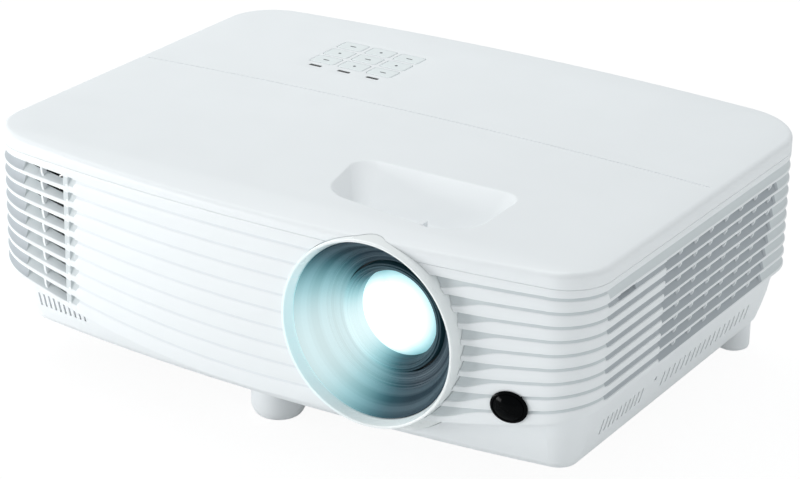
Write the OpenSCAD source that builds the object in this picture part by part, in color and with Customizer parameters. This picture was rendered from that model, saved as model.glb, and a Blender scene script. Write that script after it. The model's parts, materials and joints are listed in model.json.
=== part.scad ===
// Desktop video projector: a flat white case with a louvred waist, a large lens at the
// front right, a focus and zoom bowl in the lid and a nine-key pad behind it.
// Millimetres. +X is to the viewer's right when facing the lens, -Y is the front, +Z is up.
// The origin is on the table under the middle of the case.

/* [Case] */
// Overall width across the side walls
body_w = 313; // [290:1:330]
// Depth of the case from the front bulge to the back bulge
body_d = 241; // [225:1:250]
// Height of the lid's flat top above the table
top_z = 113.5; // [104:0.5:122]
// Free height under the case, set by the feet
foot_gap = 20; // [14:0.5:24]
// How far the front face bulges out in the middle
front_bulge = 12.5; // [6:0.5:18]
// How far the back face bulges out in the middle
back_bulge = 11; // [6:0.5:16]
// Corner radius, front left
r_fl = 28; // [22:1:34]
// Corner radius, front right
r_fr = 21; // [18:1:28]
// Corner radius, back right
r_br = 36; // [28:1:42]
// Corner radius, back left
r_bl = 27; // [22:1:34]
// Wall thickness of the louvred waist
wall = 3.5; // [3:0.1:4]
// Wall thickness of the base tray
tray_wall = 2.5; // [2:0.1:3]
// Thickness of the lid's flat top
lid_t = 2.3; // [2:0.1:3]
// Depth of the joint between lid and waist below the lid's top
seam_drop = 7.2; // [6:0.1:8.5]
// Height of the ledge inside the waist above the last groove's top edge
ledge_lift = 0.45; // [0.2:0.05:1]
// How far the lid's front edge slopes down
brow_drop = 2.4; // [1:0.1:4]
// Width of the lid's sloping front edge
brow_w = 15; // [10:0.5:20]

/* [Louvres] */
// Number of grooves around the waist, the last one being its lower edge
groove_n = 10; // [8:1:11]
// Depth of the first groove's top edge below the lid's top, at the sides
groove_drop = 10.4; // [9.5:0.1:12]
// Spacing of the grooves at the sides
rib_pitch = 5.95; // [5:0.05:6.4]
// How much more each groove sags at mid width than the one above
rib_sag = 2.1; // [1:0.1:2.4]
// Height of a plain groove
groove_h = 2.5; // [1.5:0.1:3]
// Depth of a groove beside the vents and the lens
groove_deep = 1.8; // [1:0.1:2.2]
// Depth of a groove across the rest of the waist
groove_shallow = 0.8; // [0.4:0.1:1.5]
// Height of the hollows between the ribs beside the lens
pocket_h = 4.6; // [3.5:0.1:5]
// Height of an open vent slot at the sides
slot_h = 3.7; // [3:0.1:4]
// Height of an open vent slot at the front left
front_slot_h = 4.4; // [3.5:0.1:5]
// Length of one side vent slot
slot_l = 13.6; // [10:0.1:18]
// Spacing of the side vent slots
slot_pitch = 15.6; // [12:0.1:20]
// Slots in one row of a side vent
slot_n = 7; // [5:1:8]
// Start of the side vents, measured from the middle of the case
slot_y0 = -35.5; // [-50:0.5:-20]
// Tilt of the slanted blades in the vents
blade_tilt = 35; // [20:1:50]

/* [Lens] */
// Distance of the lens axis in from the right side wall
lens_in = 97.5; // [86:0.5:116]
// Depth of the lens axis below the lid's top
lens_drop = 44; // [43:0.5:48]
// Radius of the bezel's front rim
rim_r = 44.2; // [40:0.1:46]
// Radius of the opening inside the bezel
open_r = 39.7; // [34:0.1:41]
// How far the bezel's rim stands in front of the case's bulge
rim_out = 1.5; // [0.5:0.5:3.5]
// Outer radius of the fixed lens barrel
barrel_r = 26.5; // [24:0.1:28]
// Outer radius of the focus and zoom rings
ring_r = 33.5; // [31:0.1:34]
// Length of the focus and zoom rings
ring_l = 6; // [4:0.5:7]
// Running clearance between turning and sliding pieces
run = 0.05; // [0.02:0.01:0.1]
// Loose clearance between pieces that don't touch
gap = 0.3; // [0.2:0.05:0.6]

/* [Controls] */
// Width of one key
key_w = 13.7; // [10:0.1:15]
// Depth of one key
key_d = 9.6; // [8:0.1:10.5]
// Sideways spacing of the keys
key_px = 16.3; // [15:0.1:18]
// Front-to-back spacing of the keys
key_py = 12.1; // [11:0.1:14]
// Distance of the middle key in from the left side wall
key_in = 94.9; // [86:0.1:106]
// Distance of the middle key in from the back of the case
key_in_y = 52.4; // [45:0.1:60]
// Free travel of a key
key_travel = 0.8; // [0.5:0.1:1]
// Distance of the remote-control window in from the right side wall
eye_in = 32.5; // [27:0.5:46]
// Height of the remote-control window
eye_z = 52.3; // [45:0.5:60]
// Radius of the remote-control window
eye_r = 8; // [6:0.5:9]

/* [Feet] */
// Sideways position of the front foot
foot_x = -9; // [-15:0.5:0]
// Distance of the front foot in from the front of the case
foot_in_y = 34.5; // [28:0.5:40]
// Radius of the front foot's knob
foot_r = 12.5; // [10:0.5:14]
// Distance of each rear foot in from the side wall
rear_in = 26.5; // [22.5:0.5:36]
// Distance of the rear feet in from the back of the case
rear_in_y = 26.5; // [24.5:0.5:36]
// Radius of a rear foot
rear_r = 8; // [6:0.5:8.5]
// Radius of the threaded ceiling-mount holes
insert_r = 2; // [1.5:0.1:2.5]

/* [Hidden] */
$fn = 96;
big_fn = 720;
eps = 0.01;
hw = body_w / 2;
front_y = -body_d / 2;
back_y = body_d / 2;
// what sits by a side, the front or the back keeps its distance from it
brow_y = front_y + brow_w;
rim_h = rim_out - front_y;
lens_x = hw - lens_in;
key_x = key_in - hw;
key_y = back_y - key_in_y;
eye_x = hw - eye_in;
foot_y = front_y + foot_in_y;
rear_x = hw - rear_in;
rear_y = back_y - rear_in_y;
front_r = (hw * hw + front_bulge * front_bulge) / (2 * front_bulge);
back_r = (hw * hw + back_bulge * back_bulge) / (2 * back_bulge);
front_cy = front_y + front_r;
back_cy = back_y - back_r;
function fc(s, r) = [s * (hw - r), front_cy - sqrt(pow(front_r - r, 2) - pow(hw - r, 2))];
function bc(s, r) = [s * (hw - r), back_cy + sqrt(pow(back_r - r, 2) - pow(hw - r, 2))];
// corner: centre, radius, side sign, front or back sign, centre of the long arc it meets
corners = [
  [fc(-1, r_fl), r_fl, -1, front_cy],
  [fc(1, r_fr), r_fr, 1, front_cy],
  [bc(1, r_br), r_br, 1, back_cy],
  [bc(-1, r_bl), r_bl, -1, back_cy]
];
function arc_dir(c) = (c[0] - [0, c[3]]) / norm(c[0] - [0, c[3]]);
step = 0.01;
seam_z = top_z - seam_drop;
groove_z = top_z - groove_drop;
lens_z = top_z - lens_drop;
ledge_z = groove_z - (groove_n - 1) * rib_pitch + ledge_lift;
function groove_top(k) = groove_z - (k - 1) * rib_pitch;
function sag(k) = rib_sag * k;
function sag_r(k) = (hw * hw + sag(k) * sag(k)) / (2 * sag(k));
function sag_drop(k, x) = sag(k) * (1 - x * x / (hw * hw));
function wall_y(x) = front_cy - sqrt(front_r * front_r - x * x);
floor_z = foot_gap + tray_wall;
lid_under = top_z - lid_t;
// the lens: bezel, funnel, rings and cells follow the rim, the rear end stays at the light engine
bezel_depth = 10;
bezel_back = rim_h - bezel_depth;
flank = 0.4;
bezel_root = rim_r + flank * bezel_depth;
flange_r = rim_r + 2.6;
flange_t = 1.5;
hood_back = rim_h - 24;
hood_front = rim_h - 5;
barrel_front = rim_h - 26;
front_cell_h = rim_h - 34;
focus_h = rim_h - 38;
zoom_h = rim_h - 47;
barrel_back = 50;
zoom_cell_h = (barrel_back + front_cell_h) / 2 - 6;
bowl_z = top_z - 12.5;
board_z = top_z - 10.1;
board_t = 1.6;
// lamp, colour wheel and their door follow the back right corner
door_x1 = hw - 35.5;
door_x0 = door_x1 - 57;
door_y1 = back_y - 24.5;
door_y0 = door_y1 - 56;
door_t = 1.3;
lamp_x = door_x0 + 30;
lamp_z = 66;
wheel_y = door_y0 - 9;
wheel_z = 46;
// sockets and boards follow the rear recess
io_x0 = -hw + 32.5;
io_x1 = hw - 48.5;
io_z0 = ledge_z + 3;
io_z1 = seam_z - 7.3;
main_z = io_z0 + 13;
inlet_z = io_z0 + 13.5;
panel_y = back_y - 19.5;
panel_t = 2;
inlet_x = io_x0 + 19;
hdmi_x = [inlet_x + 26, inlet_x + 46];
vga_x = [io_x1 - 140, io_x1 - 103];
jack_x = [io_x1 - 80, io_x1 - 68, io_x1 - 56];
data_x = [io_x1 - 48, io_x1 - 34];
lock_x = [io_x1 - 26, io_x1 - 22];
main_holes = [[inlet_x + 17, panel_y - 61], [io_x1 - 58, panel_y - 61],
  [inlet_x + 49, panel_y - 5], [io_x1 - 56, panel_y - 7]];
// fans
fan_x = hw - 28.5;
fan_y = 1;
fan_z = 64.5;
fan_s = 70;
fan_t = 15;
blow_x = -hw + 65.5;
blow_y = front_y + 54.5;
blow_z = 30;
blow_t = 22;
// two open columns and a blind one of the front left vents
vent_x = [[-hw + 25.5, -hw + 36], [-hw + 38.5, -hw + 51], [-hw + 53.8, -hw + 57.1]];
screw_top = 76;
boss_xy = [[-hw + 20.5, front_y + 40.5], [hw - 19.5, front_y + 38.5],
  [hw - 22.5, back_y - 32.5], [-hw + 18.5, back_y - 34.5]];
insert_xy = [[-40, -60], [108, -52], [30, 62]];

// ---------- shared shapes ----------

// outline of the case from above, moved inwards by d
module plan(d = 0) {
  difference() {
    intersection() {
      translate([0, front_cy]) circle(front_r - d, $fn = big_fn);
      translate([0, back_cy]) circle(back_r - d, $fn = big_fn);
      square([body_w - 2 * d, 2 * body_d], center = true);
    }
    for (c = corners) corner_waste(c, d);
  }
}

module corner_waste(c, d) {
  difference() {
    corner_wedge(c);
    translate(c[0]) circle(c[1] - d);
  }
}

// the space beyond a corner, between the lines to where its arc meets the side and the long arc
module corner_wedge(c) {
  far = 90;
  u = arc_dir(c);
  polygon([c[0], c[0] + [c[2] * far, 0], c[0] + [c[2] * far, u[1] * far], c[0] + u * far]);
}

module prism(d, z0, z1) {
  translate([0, 0, z0]) linear_extrude(z1 - z0) plan(d);
}

module band(d0, d1, z0, z1) {
  translate([0, 0, z0]) linear_extrude(z1 - z0) difference() {
    plan(d0);
    plan(d1);
  }
}

// solid with the case's outline whose wall follows a profile of [inset, height] points
module profiled(pts) {
  n = len(pts) - 1;
  z0 = pts[0][1];
  z1 = pts[n][1];
  difference() {
    intersection() {
      translate([0, front_cy, 0]) revolved(front_r, pts, $fn = big_fn);
      translate([0, back_cy, 0]) revolved(back_r, pts, $fn = big_fn);
      rotate([90, 0, 0]) linear_extrude(2 * body_d, center = true)
        polygon([for (p = pts) [hw - p[0], p[1]], for (i = [n:-1:0]) [pts[i][0] - hw, pts[i][1]]]);
    }
    for (c = corners) difference() {
      translate([0, 0, z0 - 1]) linear_extrude(z1 - z0 + 2) corner_wedge(c);
      translate([c[0][0], c[0][1], 0])
        revolved(c[1] - step, [[pts[0][0], z0 - 2], for (p = pts) p, [pts[n][0], z1 + 2]]);
    }
  }
}

module revolved(r, pts) {
  n = len(pts) - 1;
  rotate_extrude() polygon([[0, pts[0][1]], for (p = pts) [r - p[0], p[1]], [0, pts[n][1]]]);
}

module box(x0, x1, y0, y1, z0, z1) {
  translate([x0, y0, z0]) cube([x1 - x0, y1 - y0, z1 - z0]);
}

module post(x, y, z0, z1, r) {
  translate([x, y, z0]) cylinder(h = z1 - z0, r = r);
}

// puts a shape made along +Z on the lens axis, height then being distance to the front
module on_axis() {
  translate([lens_x, 0, lens_z]) rotate([90, 0, 0]) children();
}

module turned(pts) {
  on_axis() rotate_extrude() polygon(pts);
}

// everything above groove k's top edge, as a bar from front to back
module above_groove(k) {
  translate([0, 0, groove_top(k) - sag(k) + sag_r(k)]) rotate([90, 0, 0])
    linear_extrude(2 * body_d, center = true) circle(sag_r(k), $fn = big_fn);
}

// a groove of height h as a sagging bar running from front to back
module groove_bar(k, h, lift = 0) {
  c = groove_top(k) - sag(k) + sag_r(k) + lift;
  rotate([90, 0, 0]) linear_extrude(2 * body_d, center = true) intersection() {
    difference() {
      translate([0, c - h]) circle(sag_r(k), $fn = big_fn);
      translate([0, c]) circle(sag_r(k), $fn = big_fn);
    }
    translate([-hw - 10, 0]) square([body_w + 20, top_z + 20]);
  }
}

// space the lens bezel takes out of the case
module bezel_space(g) {
  difference() {
    union() {
      turned([[0, bezel_back - g], [bezel_root + g, bezel_back - g],
        [rim_r + g - flank * 8, rim_h + 8], [0, rim_h + 8]]);
      turned([[0, rim_h - 23], [open_r + gap, rim_h - 23], [open_r + gap, rim_h], [0, rim_h]]);
    }
    translate([-hw, -body_d, 0]) cube([body_w, 2 * body_d, floor_z + 0.5]);
  }
}

// clears the wall behind the bezel
module behind_bezel() {
  r = bezel_root + 0.15;
  turned([[0, rim_h - 22], [r, rim_h - 22], [r, bezel_back], [0, bezel_back]]);
}

// space around the funnel's flange behind the bezel, for what lies above it
module flange_space() {
  difference() {
    turned([[0, bezel_back - flange_t - gap], [flange_r + gap, bezel_back - flange_t - gap],
      [flange_r + gap, bezel_back + 1], [0, bezel_back + 1]]);
    box(-hw, hw, -150, 0, lid_under - 2.7, 130);
  }
}

module brow_cut() {
  run_y = brow_y - front_y;
  translate([0, brow_y, top_z]) rotate([atan(brow_drop / run_y), 0, 0])
    translate([-hw - 5, -60, 0]) cube([body_w + 10, 60, 30]);
}

// ---------- case ----------

// circles of the bowl's rim and floor: from the lens axis, behind the bezel's rim, radius
bowl_top = [[-42, 68, 9], [22, 67.5, 9.5], [14, 43, 18], [-28, 51, 19]];
bowl_low = [[-30, 46, 6], [20, 46, 6], [16, 38, 9], [-22, 40, 9]];

module bowl(grow, z_low, z_top) {
  hull() {
    for (p = bowl_low) translate([lens_x + p[0], p[1] - rim_h, z_low])
      cylinder(h = eps, r = p[2] + grow, $fn = 32);
    for (p = bowl_top) translate([lens_x + p[0], p[1] - rim_h, z_top])
      cylinder(h = eps, r = p[2] + grow, $fn = 48);
  }
}

module top_cover() {
  color("white") difference() {
    union() {
      difference() {
        profiled([[0, seam_z], [0, top_z - 2.4], [0.35, top_z - 1.2], [1.1, top_z - 0.4], [2.4, top_z]]);
        prism(wall, seam_z - 1, lid_under);
      }
      band(wall + gap, wall + 1.8, seam_z - 3, lid_under + 0.6);
      intersection() {
        prism(2, lid_under - 2.6, top_z - 1);
        box(-hw, hw, front_y - 5, -100, 0, 200);
      }
      bowl(1.8, bowl_z - 1.8, lid_under + 0.5);
      for (x = [-26, 26], y = [-30, 24])
        post(key_x + x, key_y + y, board_z + board_t, lid_under + 0.5, 2.2);
      for (b = boss_xy) post(b[0], b[1], ledge_z + 6, lid_under + 0.5, 4.5);
    }
    for (b = boss_xy) post(b[0], b[1], ledge_z + 5, screw_top + 1, 1.6);
    brow_cut();
    bowl(0, bowl_z, top_z + 0.02);
    bezel_space(0.15);
    flange_space();
    // slot over the focus and zoom rings
    box(lens_x - 16.5, lens_x + 16.5, -focus_h - ring_l - 1, -zoom_h + 1, 90, bowl_z + 6);
    for (i = [-1:1], j = [-1:1])
      translate([key_x + i * key_px, key_y + j * key_py, top_z])
        cube([key_w + 2 * gap, key_d + 2 * gap, 3 * lid_t], center = true);
    for (i = [-1:1]) translate([key_x + i * key_px, key_y - 21.6, top_z])
      cube([6.9, 2.4, 3 * lid_t], center = true);
    // fine line across the lid
    translate([0, 17 - 1607, top_z - 0.3]) linear_extrude(2) difference() {
      circle(1607.4, $fn = 4 * big_fn);
      circle(1606.8, $fn = 4 * big_fn);
    }
  }
}

module side_slots(s, k0, y0) {
  for (k = [k0:groove_n - 1], j = [0:slot_n - 1]) {
    y = y0 + j * slot_pitch;
    end = y0 + slot_n * slot_pitch - 1.2 - (k - 2) * 1.6;
    l = min(slot_l, end - y);
    if (l > 1) translate([s * hw - 8, y, groove_top(k) + 0.4 - slot_h]) cube([16, l, slot_h]);
  }
}

module side_blades(s, k0, y0) {
  l = slot_n * slot_pitch + 1;
  for (k = [k0:groove_n - 1])
    translate([s * (hw - 0.7), y0 - 1.5, groove_top(k) - slot_h - 0.3]) rotate([0, s * blade_tilt, 0])
      translate([s > 0 ? -5.4 : 0, 0, 0]) cube([5.4, l - (k - 2) * 1.6, 0.9]);
}

module front_blades() {
  x = vent_x[1][0];
  for (k = [1:groove_n - 1]) {
    z = groove_top(k) - sag_drop(k, x) - front_slot_h - 0.1;
    lean = atan(2 * sag(k) * x / (hw * hw));
    translate([x, wall_y(x) + 1.2, z]) rotate([0, -lean, 0]) rotate([blade_tilt, 0, 0])
      rotate([0, 0, -7]) translate([-13, 0, 0]) cube([27, 5.4, 0.9]);
  }
}

// hollows between the ribs where they run into the right of the lens bezel
module lens_pockets() {
  x0 = lens_x + 37;
  x1 = lens_x + 45;
  x2 = lens_x + 62;
  intersection() {
    union() for (k = [1:groove_n - 1]) groove_bar(k, pocket_h, 0.3);
    translate([0, 0, foot_gap]) linear_extrude(top_z) polygon([[x0, wall_y(x0) + 2.4],
      [x1, wall_y(x1) + 2.4], [x2, wall_y(x2) + 0.3], [x2, front_y - 5], [x0, front_y - 5]]);
  }
}

module louvre_shell() {
  vent_y0 = slot_y0 - 2;
  vent_y1 = slot_y0 + slot_n * slot_pitch;
  color("white") difference() {
    union() {
      difference() {
        intersection() {
          band(0, wall, foot_gap, seam_z);
          above_groove(groove_n);
        }
        // grooves, left out where the open vents are
        difference() {
          intersection() {
            union() for (k = [1:groove_n - 1]) groove_bar(k, groove_h);
            union() {
              band(-2, groove_shallow, foot_gap, seam_z);
              intersection() {
                band(-2, groove_deep, foot_gap, seam_z);
                union() {
                  box(lens_x + 16, hw + 5, -150, 150, 0, 130);
                  box(-hw - 5, vent_x[2][1] + 1.4, -150, 150, 0, 130);
                }
              }
            }
          }
          box(hw - 8, hw + 8, vent_y0, vent_y1, 40, groove_top(1) - 4);
          box(-hw - 8, -hw + 8, vent_y0 - 20, vent_y1 - 20, 40, groove_top(1) + 2);
          box(vent_x[0][0] - 1.5, vent_x[1][1] + 1.5, front_y - 5, front_y + 30, 0, groove_top(1) + 2);
          box(io_x0 - 5, io_x1 + 5, back_y - 30, back_y + 10, io_z0 - 5, io_z1 + 5);
        }
        lens_pockets();
        side_slots(1, 2, slot_y0);
        side_slots(-1, 1, slot_y0 - 20);
        // long slot ahead of the right vent
        translate([hw - 8, -80, groove_top(2) + 0.4 - slot_h]) cube([16, 14, slot_h]);
        // front left vents in two columns and a blind third one
        intersection() {
          union() for (k = [1:groove_n - 1]) groove_bar(k, front_slot_h, 0.4);
          union() {
            for (v = [vent_x[0], vent_x[1]]) box(v[0], v[1], front_y - 5, front_y + 30, 0, 130);
            intersection() {
              box(vent_x[2][0], vent_x[2][1], front_y - 5, front_y + 20, 0, 130);
              band(-2, 2, foot_gap, seam_z);
            }
          }
        }
      }
      intersection() {
        side_blades(1, 2, slot_y0);
        prism(0.5, foot_gap, seam_z);
      }
      intersection() {
        side_blades(-1, 1, slot_y0 - 20);
        prism(0.5, foot_gap, seam_z);
      }
      intersection() {
        front_blades();
        prism(0.5, foot_gap, seam_z);
      }
      band(wall - 0.5, wall + 3, ledge_z, ledge_z + 2);
      // corner plates for the case screws and the shelf for the dust filter
      intersection() {
        prism(wall - 0.5, ledge_z, ledge_z + 6);
        union() for (b = boss_xy) translate([b[0], b[1], 0])
          translate([b[0] > 0 ? -7 : -40, b[1] > 0 ? -7 : -40, 0]) cube([47, 47, 100]);
      }
      box(-hw + 3, -hw + 8.4, vent_y0 - 22, vent_y1 - 18, ledge_z, ledge_z + 2);
    }
    for (b = boss_xy) post(b[0], b[1], ledge_z - 1, ledge_z + 7, 1.6);
    bezel_space(0.15);
    behind_bezel();
    eye_place() translate([0, 0, -20]) cylinder(h = 30, r = eye_r + 0.2);
    box(io_x0, io_x1, back_y - 30, back_y + 10, io_z0, io_z1);
    intersection() {
      box(io_x0 - 2.2, io_x1 + 2.2, back_y - 30, back_y, io_z0 - 4, io_z1 + 2.2);
      prism(wall, io_z0 - 5, io_z1 + 5);
    }
  }
}

// local frame on the front wall at the remote-control window, +Z pointing out
module eye_place() {
  a = asin(eye_x / front_r);
  translate([eye_x, wall_y(eye_x), eye_z]) rotate([0, 0, a]) rotate([90, 0, 0]) children();
}

module tray_shell() {
  z = foot_gap;
  h = ledge_z - z;
  t = tray_wall;
  difference() {
    profiled([[12.5, z], [10.6, z + h / 12], [8.7, z + h * 4 / 15], [6.4, z + h * 8 / 15],
      [4.9, z + h * 23 / 30], [3.7, ledge_z]]);
    profiled([[12.7 + t, z + t], [8.7 + t, z + h * 4 / 15], [6.4 + t, z + h * 8 / 15],
      [4.9 + t, z + h * 23 / 30], [3.7 + t, ledge_z], [3.7 + t, ledge_z + 1]]);
  }
}

module bottom_tray() {
  color("white") difference() {
    union() {
      tray_shell();
      for (b = boss_xy) post(b[0], b[1], floor_z - 1, ledge_z, 4.5);
      for (b = insert_xy) post(b[0], b[1], floor_z - 1, floor_z + 9, 6);
      post(foot_x, foot_y, floor_z - 1, 44, 9);
      // pillars under the boards, the light engine and the blower
      for (x = [inlet_x - 21, inlet_x + 41], y = [panel_y - 95, panel_y - 13]) post(x, y, floor_z - 1, 28, 3);
      for (x = [-46, 6], y = [panel_y - 57, panel_y - 11]) post(x, y, floor_z - 1, 28, 3);
      for (p = main_holes) post(p[0], p[1], floor_z - 1, main_z, 3);
      for (x = [30, 88], y = [-42, 2]) post(x, y, floor_z - 1, 38, 4);
      for (a = [30, 150, 270])
        post(blow_x + 30 * cos(a), blow_y + 30 * sin(a), floor_z - 1, blow_z, 3);
      // cradles under the fan and the speaker
      for (y = [fan_y - 26, fan_y + 26])
        box(fan_x + 1, fan_x + fan_t - 3, y - 2, y + 2, floor_z - 1, fan_z - fan_s / 2);
      box(-hw + 19.5, -hw + 23.5, -29, -3, floor_z - 1, 43);
      // stand behind the remote-control receiver, and pads over the rear feet
      box(eye_x - 12, eye_x + 4, front_y + 23.2, front_y + 26, floor_z - 1, 44);
      for (s = [-1, 1]) post(s * rear_x, rear_y, foot_gap, foot_gap + 7, rear_r - 0.5);
    }
    bezel_space(0.15);
    eye_place() translate([0, 0, -20]) cylinder(h = 30, r = eye_r + 1.2);
    // air way behind the front left vents
    box(vent_x[0][0] - 2, vent_x[1][1] + 2, front_y - 5, front_y + 25, ledge_z - 11, ledge_z + 2);
    difference() {
      behind_bezel();
      box(-hw, hw, -150, 0, 0, floor_z + 0.5);
    }
    post(foot_x, foot_y, foot_gap - 1, 45, 5 + run);
    for (s = [-1, 1]) post(s * rear_x, rear_y, foot_gap - 1, foot_gap + 5, 3.1);
    for (b = boss_xy) {
      post(b[0], b[1], foot_gap - 1, ledge_z + 1, 1.6);
      post(b[0], b[1], foot_gap - 1, 34, 3.2);
    }
    for (b = insert_xy) post(b[0], b[1], foot_gap - 1, floor_z + 8, 3.2);
    // lamp door opening with a ledge
    box(door_x0, door_x1, door_y0, door_y1, foot_gap - 1, foot_gap + door_t);
    box(door_x0 + 3, door_x1 - 3, door_y0 + 3, door_y1 - 3, foot_gap - 1, floor_z + 1);
    // air intake slits under the blower
    for (i = [0:10]) box(blow_x - 27 + i * 5, blow_x - 24.6 + i * 5, blow_y - 22, blow_y + 22,
      foot_gap - 1, floor_z + 1);
    // thin slits in the sloping band
    for (i = [0:9]) box(hw - 13.5, hw, -78.7 + i * 4, -77.4 + i * 4, foot_gap + 10, foot_gap + 17.5);
    for (i = [0:17]) box(hw - 13.5, hw, -22.4 + i * 5, -21.1 + i * 5, foot_gap + 10, foot_gap + 17.5);
    for (i = [0:17]) box(-hw, -hw + 13.5, -52.4 + i * 5, -51.1 + i * 5, foot_gap + 10, foot_gap + 17.5);
    for (i = [0:9]) box(-hw + 26.5 + i * 3.1, -hw + 27.7 + i * 3.1, front_y - 4.5, front_y + 21.5,
      foot_gap + 9, foot_gap + 16);
    translate([hw - 12, -30.5, foot_gap + 17.6]) rotate([0, 90, 0]) cylinder(h = 20, r = 1.1);
  }
}

module rear_panel() {
  color("dimgray") difference() {
    union() {
      intersection() {
        union() {
          box(io_x0 - 6, io_x1 + 6, panel_y, panel_y + panel_t, floor_z, seam_z - 2.3);
          difference() {
            box(io_x0 - 1.8, io_x1 + 1.8, panel_y, back_y, io_z0 - 1.8, io_z1 + 1.8);
            box(io_x0 - 0.2, io_x1 + 0.2, panel_y, back_y + 1, io_z0 - 0.2, io_z1 + 0.2);
          }
        }
        prism(wall + gap, 0, 130);
      }
    }
    // clear of the sloping tray wall
    difference() {
      box(-hw, hw, back_y - 30, back_y + 5, foot_gap, ledge_z);
      prism(16, foot_gap, ledge_z);
    }
    // power inlet, and the row of sockets on the main board
    y0 = panel_y - 3;
    y1 = panel_y + 5;
    box(inlet_x - 14, inlet_x + 14, y0, y1, inlet_z - 10.5, inlet_z + 10.5);
    for (x = hdmi_x) box(x - 7.6, x + 7.6, y0, y1, main_z + 1, main_z + 8);
    for (x = vga_x) box(x - 15.6, x + 15.6, y0, y1, main_z + 1, main_z + 14.2);
    for (x = jack_x) translate([x, y0, main_z + 8]) rotate([-90, 0, 0]) cylinder(h = 8, r = 4.4);
    box(data_x[0], data_x[1], y0, y1, main_z + 2, main_z + 9.5);
    box(lock_x[0], lock_x[1], y0, y1, main_z - 6, main_z + 1.5);
  }
}

// ---------- lens ----------

module lens_bezel() {
  color("white") difference() {
    intersection() {
      turned([[open_r, bezel_back], [bezel_root, bezel_back],
        [rim_r, rim_h - 0.6], [rim_r - 0.6, rim_h], [rim_r - 1.2, rim_h], [open_r, rim_h - 4.5]]);
      box(-hw, hw, -150, 0, floor_z + 0.8, 130);
    }
    // follows the lid's sloping front edge, with the rim standing a little above it
    difference() {
      translate([0, brow_y, top_z + 0.05]) rotate([atan(brow_drop / (brow_y - front_y)), 0, 0])
        translate([-hw, -60, 0]) cube([body_w, 60, 30]);
      box(-hw, hw, -150, -rim_h + 2, 0, 200);
    }
  }
}

module lens_hood() {
  steps = 14;
  h0 = hood_back;
  h1 = hood_front;
  color("dimgray") intersection() {
    turned(concat(
      [[29.5, h0], [38, bezel_back - flange_t], [flange_r, bezel_back - flange_t], [flange_r, bezel_back],
        [open_r - 0.1, bezel_back], [open_r - 0.1, h1], [open_r - 0.8, h1]],
      [for (i = [steps - 1:-1:0], b = [1, 0])
        let(f = (i + b * 0.35) / steps, r = 28 + f * (open_r - 1 - 28)) [r + b * 0.35, h0 + f * (h1 - h0)]]
    ));
    box(-hw, hw, -150, 0, floor_z + 0.8, lid_under - 3);
  }
}

module barrel_body() {
  color("gray") difference() {
    b = barrel_back;
    turned([[24.5 + run, barrel_front], [barrel_r, barrel_front], [barrel_r, b + 4], [32, b + 4], [32, b],
      [15, b], [15, b + 2], [17.1, b + 2], [17.1, b + 6.5], [24.5 + run, b + 6.5]]);
    for (a = [45:90:315]) on_axis() rotate([0, 0, a]) translate([29.3, 0, b - 1]) cylinder(h = 6, r = 1.6);
  }
  // low collars that keep the two rings in place
  color("gray") for (h = [focus_h + ring_l + gap, focus_h - gap - 1.4, zoom_h - gap - 1.4])
    turned([[barrel_r - 0.5, h], [barrel_r + 1.2, h], [barrel_r + 1.2, h + 1.4], [barrel_r - 0.5, h + 1.4]]);
}

module grip_ring(h, notches) {
  difference() {
    turned([[barrel_r + run, h], [ring_r, h], [ring_r, h + ring_l], [barrel_r + run, h + ring_l]]);
    for (i = [0:notches - 1]) on_axis() rotate([0, 0, i * 360 / notches])
      translate([ring_r + 0.4, 0, h + 0.8]) cylinder(h = ring_l - 1.6, r = 0.9, $fn = 24);
  }
}

module focus_ring() {
  color("gray") grip_ring(focus_h, 60);
}

module zoom_ring() {
  color("gray") {
    grip_ring(zoom_h, 60);
    translate([lens_x - 1.5, -zoom_h - ring_l + 0.5, lens_z + ring_r - 1]) cube([3, ring_l - 1, 3.6]);
  }
}

module focus_cell() {
  h = front_cell_h;
  color("dimgray") turned([[20 + run, h + 2], [20 + run, h + 9], [21.2, h + 10.2], [22, h + 13],
    [24.5, h + 13], [24.5, h], [18.5, h], [18.5, h + 2]]);
}

module front_glass() {
  h = front_cell_h + 2;
  color("lightcyan") turned([[0, h], [20, h], [20, h + 2.5], [17.5, h + 4.6], [13.5, h + 6.4],
    [8.5, h + 7.7], [4, h + 8.3], [0, h + 8.5]]);
}

module zoom_cell() {
  h = zoom_cell_h;
  color("dimgray") turned([[16 + run, h + 3], [16 + run, h + 10], [24.5, h + 10], [24.5, h],
    [14.5, h], [14.5, h + 3]]);
}

module zoom_glass() {
  h = zoom_cell_h + 3;
  color("lightcyan") turned([[0, h], [16, h], [16, h + 2], [12, h + 4], [6, h + 5.2], [0, h + 5.6]]);
}

module rear_glass() {
  h = barrel_back + 2;
  color("lightcyan") turned([[0, h], [17, h], [17, h + 2], [11, h + 3.6], [0, h + 4.4]]);
}

// ---------- controls ----------

module ir_window() {
  color("black") eye_place() rotate_extrude() polygon([[0, -4], [eye_r, -4], [eye_r, 0.3],
    [eye_r + 0.9, 0.3], [eye_r + 0.9, 0.9], [eye_r - 0.4, 1.5], [5.5, 2.4], [3, 2.9], [0, 3.1]]);
}

module ir_board() {
  color("green") {
    y = front_y + 23.2;
    box(eye_x - 12, eye_x + 5, y - 1.6, y, 36, 62);
    box(eye_x - 4, eye_x + 4, y - 5.1, y - 1.6, eye_z - 5, eye_z + 5);
  }
}

module key(i) {
  x = key_x + ((i - 1) % 3 - 1) * key_px;
  y = key_y + (1 - floor((i - 1) / 3)) * key_py;
  color("white") translate([x, y, 0]) {
    translate([-key_w / 2, -key_d / 2, lid_under - 0.5]) cube([key_w, key_d, lid_t + 0.6]);
    translate([-key_w / 2 - 0.9, -key_d / 2 - 0.9, lid_under - 1.4]) cube([key_w + 1.8, key_d + 1.8, 1.4]);
    post(0, 0, board_z + board_t + 0.6 + key_travel + 0.1, lid_under - 1.5, 2);
  }
}

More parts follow.
